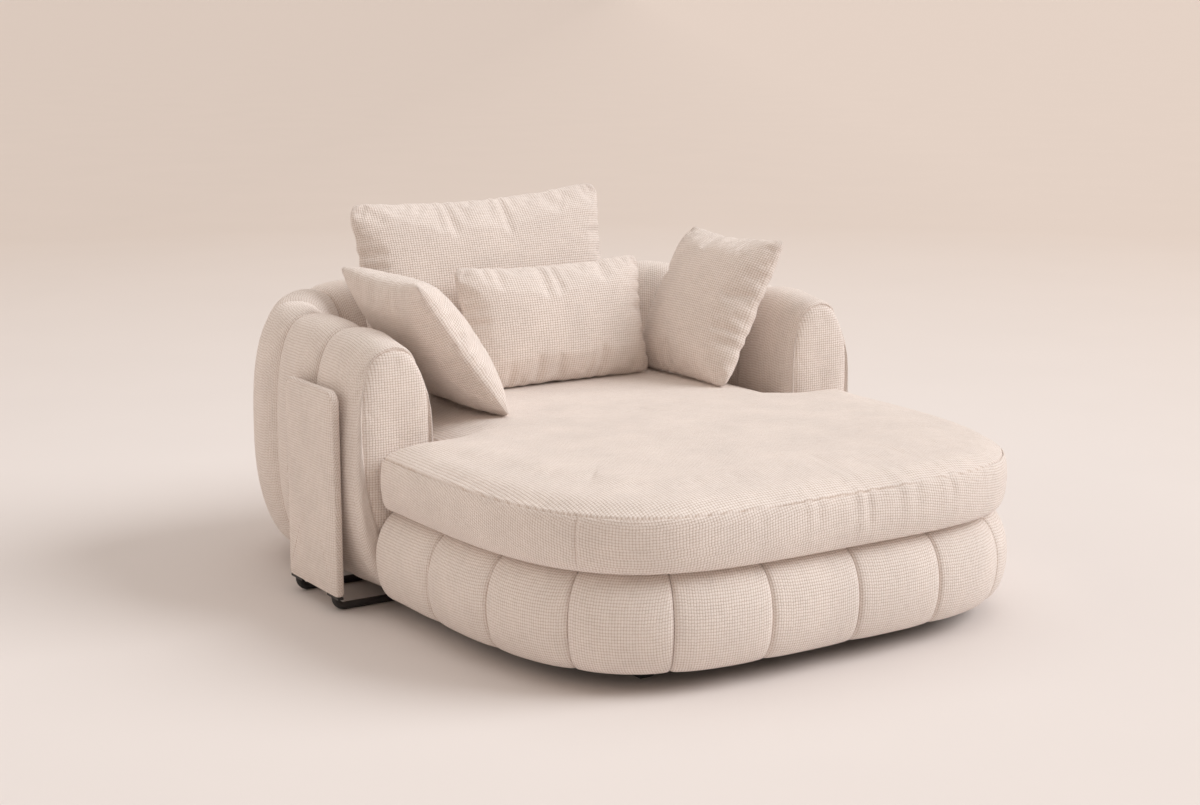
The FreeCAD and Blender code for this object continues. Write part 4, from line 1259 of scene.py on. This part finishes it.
FLOOR_RADIUS = 1500.0
# Painted shade on the far floor, and painted light across the floor towards the key lamp
FLOOR_FAR_PAINTED_SHADE = (0.15, 0.30)
FLOOR_RIGHT = (0.836, 0.549)
FLOOR_KEY_PAINTED_LIGHT = 0.16
SKY_COLOUR = (1.0, 0.855, 0.735)
SKY_STRENGTH = 0.36
LIGHTS = (("key", (0.70, -0.42, 0.58), 2.12, 38, (0.985, 0.99, 1.0)),
          ("top", (0.10, 0.15, 1.0), 0.70, 70, (1.0, 0.99, 0.985)),
          ("fill", (-0.85, 0.48, 0.32), 0.80, 70, (1.0, 0.92, 0.85)))
CAMERA_FAR = 4000.0
CAMERA_AZIMUTH = -33.30
CAMERA_ELEVATION = 11.52
CAMERA_DISTANCE = 5.632
CAMERA_LENS = 61.95
CAMERA_SHIFT = (-0.0173, 0.0064)
CAMERA_TARGET_HEIGHT = 0.350
CAMERA_SLIDE = (-0.017, 0.108)


def look_frame(azimuth, elevation):
    """Ways to the right, up and back of a camera that looks at the chaise."""
    a, e = math.radians(azimuth), math.radians(elevation)
    back = Vector((math.sin(a) * math.cos(e), -math.cos(a) * math.cos(e), math.sin(e)))
    right = Vector((math.cos(a), math.sin(a), 0.0))
    return right, back.cross(right), back


def floor_finish(colours):
    """Pale warm studio floor with painted light and shade: a little darker far from the chaise and to the
    left of the camera, lighter towards the key lamp on its right.
    """
    ground = Finish("studio floor")
    place = ground.object_place()
    x, y, _ = ground.axes(place)
    # Painted shade: the floor darkens far from the chaise
    far_painted_shade = ((x * x + y * y) ** 0.5 * FLOOR_FAR_PAINTED_SHADE[0] - FLOOR_FAR_PAINTED_SHADE[1]).clamped()
    # Painted light: the floor brightens towards the key lamp, to the camera's right, and darkens to its left
    key_side_painted_light = ((x * FLOOR_RIGHT[0] - y * FLOOR_RIGHT[1]) * FLOOR_KEY_PAINTED_LIGHT + 0.5).clamped()
    cloud = ground.noise(place, 1.4, 2.0)
    colour = ground.blend(far_painted_shade, rgba(colours.floor), rgba(colours.distance))
    ground.set(Base_Color=ground.scaled(colour, 0.935 + key_side_painted_light * 0.10 + cloud * 0.03), Roughness=0.9)
    ground.set(Specular_IOR_Level=0.1)
    return ground.material


class CHAISE_OT_stage(Operator):
    """Pale floor, soft light and the camera"""
    bl_idname = "chaise.stage"
    bl_label = "Floor, light and camera"

    def execute(self, context):
        colours = context.scene.chaise_colours
        bpy.ops.object.select_all(action="DESELECT")
        bpy.ops.mesh.primitive_circle_add(vertices=96, radius=FLOOR_RADIUS, fill_type="NGON")
        floor = context.object
        floor.name = "studio_floor"
        floor.data.materials.append(floor_finish(colours))
        for light in LIGHTS:
            self.light(*light)
        world = bpy.data.worlds.new("studio")
        context.scene.world = world
        world.use_nodes = True
        studio = Nodes(world.node_tree)
        seen = studio.node("ShaderNodeLightPath").outputs
        sky = studio.node("ShaderNodeBackground", {}, {"Color": rgba(SKY_COLOUR), "Strength": SKY_STRENGTH})
        backdrop = studio.node("ShaderNodeBackground", {}, {"Color": rgba(colours.backdrop)})
        share = seen["Is Camera Ray"]
        for kind in ("Is Glossy Ray", "Is Transmission Ray"):
            either = studio.node("ShaderNodeMath", {"operation": "MAXIMUM"}, {0: share, 1: seen[kind]})
            share = either.outputs[0]
        mix = studio.node("ShaderNodeMixShader", {},
                          {"Fac": share, 1: sky.outputs[0], 2: backdrop.outputs[0]})
        studio.node("ShaderNodeOutputWorld", {}, {0: mix.outputs[0]})
        self.camera(context)
        context.scene.view_settings.view_transform = "Standard"
        return {"FINISHED"}

    def light(self, name, towards, strength, angle, colour):
        lamp = bpy.data.lights.new(name, "SUN")
        lamp.energy = strength
        lamp.angle = math.radians(angle)
        lamp.color = colour
        lamp_object = bpy.data.objects.new(name, lamp)
        lamp_object.rotation_euler = Vector(towards).to_track_quat("Z", "Y").to_euler()
        bpy.context.scene.collection.objects.link(lamp_object)

    def camera(self, context):
        right, up, back = look_frame(CAMERA_AZIMUTH, CAMERA_ELEVATION)
        target = Vector((0, 0, CAMERA_TARGET_HEIGHT)) + CAMERA_SLIDE[0] * right + CAMERA_SLIDE[1] * up
        lens = bpy.data.cameras.new("photo camera")
        lens.lens = CAMERA_LENS
        lens.sensor_fit = "HORIZONTAL"
        lens.sensor_width = 36.0
        lens.shift_x, lens.shift_y = CAMERA_SHIFT
        lens.clip_end = CAMERA_FAR
        camera = bpy.data.objects.new("photo camera", lens)
        turn = Matrix((right, up, back)).transposed()
        camera.matrix_world = Matrix.Translation(target + CAMERA_DISTANCE * back) @ turn.to_4x4()
        context.scene.collection.objects.link(camera)
        context.scene.camera = camera


class CHAISE_PT_steps(Panel):
    """Lists the steps that upholster the chaise"""
    bl_idname = "CHAISE_PT_steps"
    bl_label = "Chaise longue"
    bl_space_type = "VIEW_3D"
    bl_region_type = "UI"
    bl_category = "Chaise"

    def draw(self, context):
        for group in (context.scene.chaise_sizes, context.scene.chaise_colours):
            for key in group.bl_rna.properties.keys():
                if key not in ("rna_type", "name"):
                    self.layout.prop(group, key)
        for step in STEPS:
            self.layout.operator(step.bl_idname)


STEPS = (CHAISE_OT_wall_channels, CHAISE_OT_arm_panels, CHAISE_OT_base_channels, CHAISE_OT_seat_cushion,
         CHAISE_OT_deck, CHAISE_OT_side_panels, CHAISE_OT_pillows, CHAISE_OT_carried_parts, CHAISE_OT_stage)
CLASSES = (ChaiseSizes, ChaiseColours) + STEPS + (CHAISE_PT_steps,)


def register():
    for cls in CLASSES:
        bpy.utils.register_class(cls)
    bpy.types.Scene.chaise_sizes = PointerProperty(type=ChaiseSizes)
    bpy.types.Scene.chaise_colours = PointerProperty(type=ChaiseColours)


def unregister():
    del bpy.types.Scene.chaise_sizes
    del bpy.types.Scene.chaise_colours
    for cls in reversed(CLASSES):
        bpy.utils.unregister_class(cls)


def main():
    register()
    for step in STEPS:
        getattr(bpy.ops.chaise, step.bl_idname.split(".")[1])()


if __name__ == "__main__":
    main()
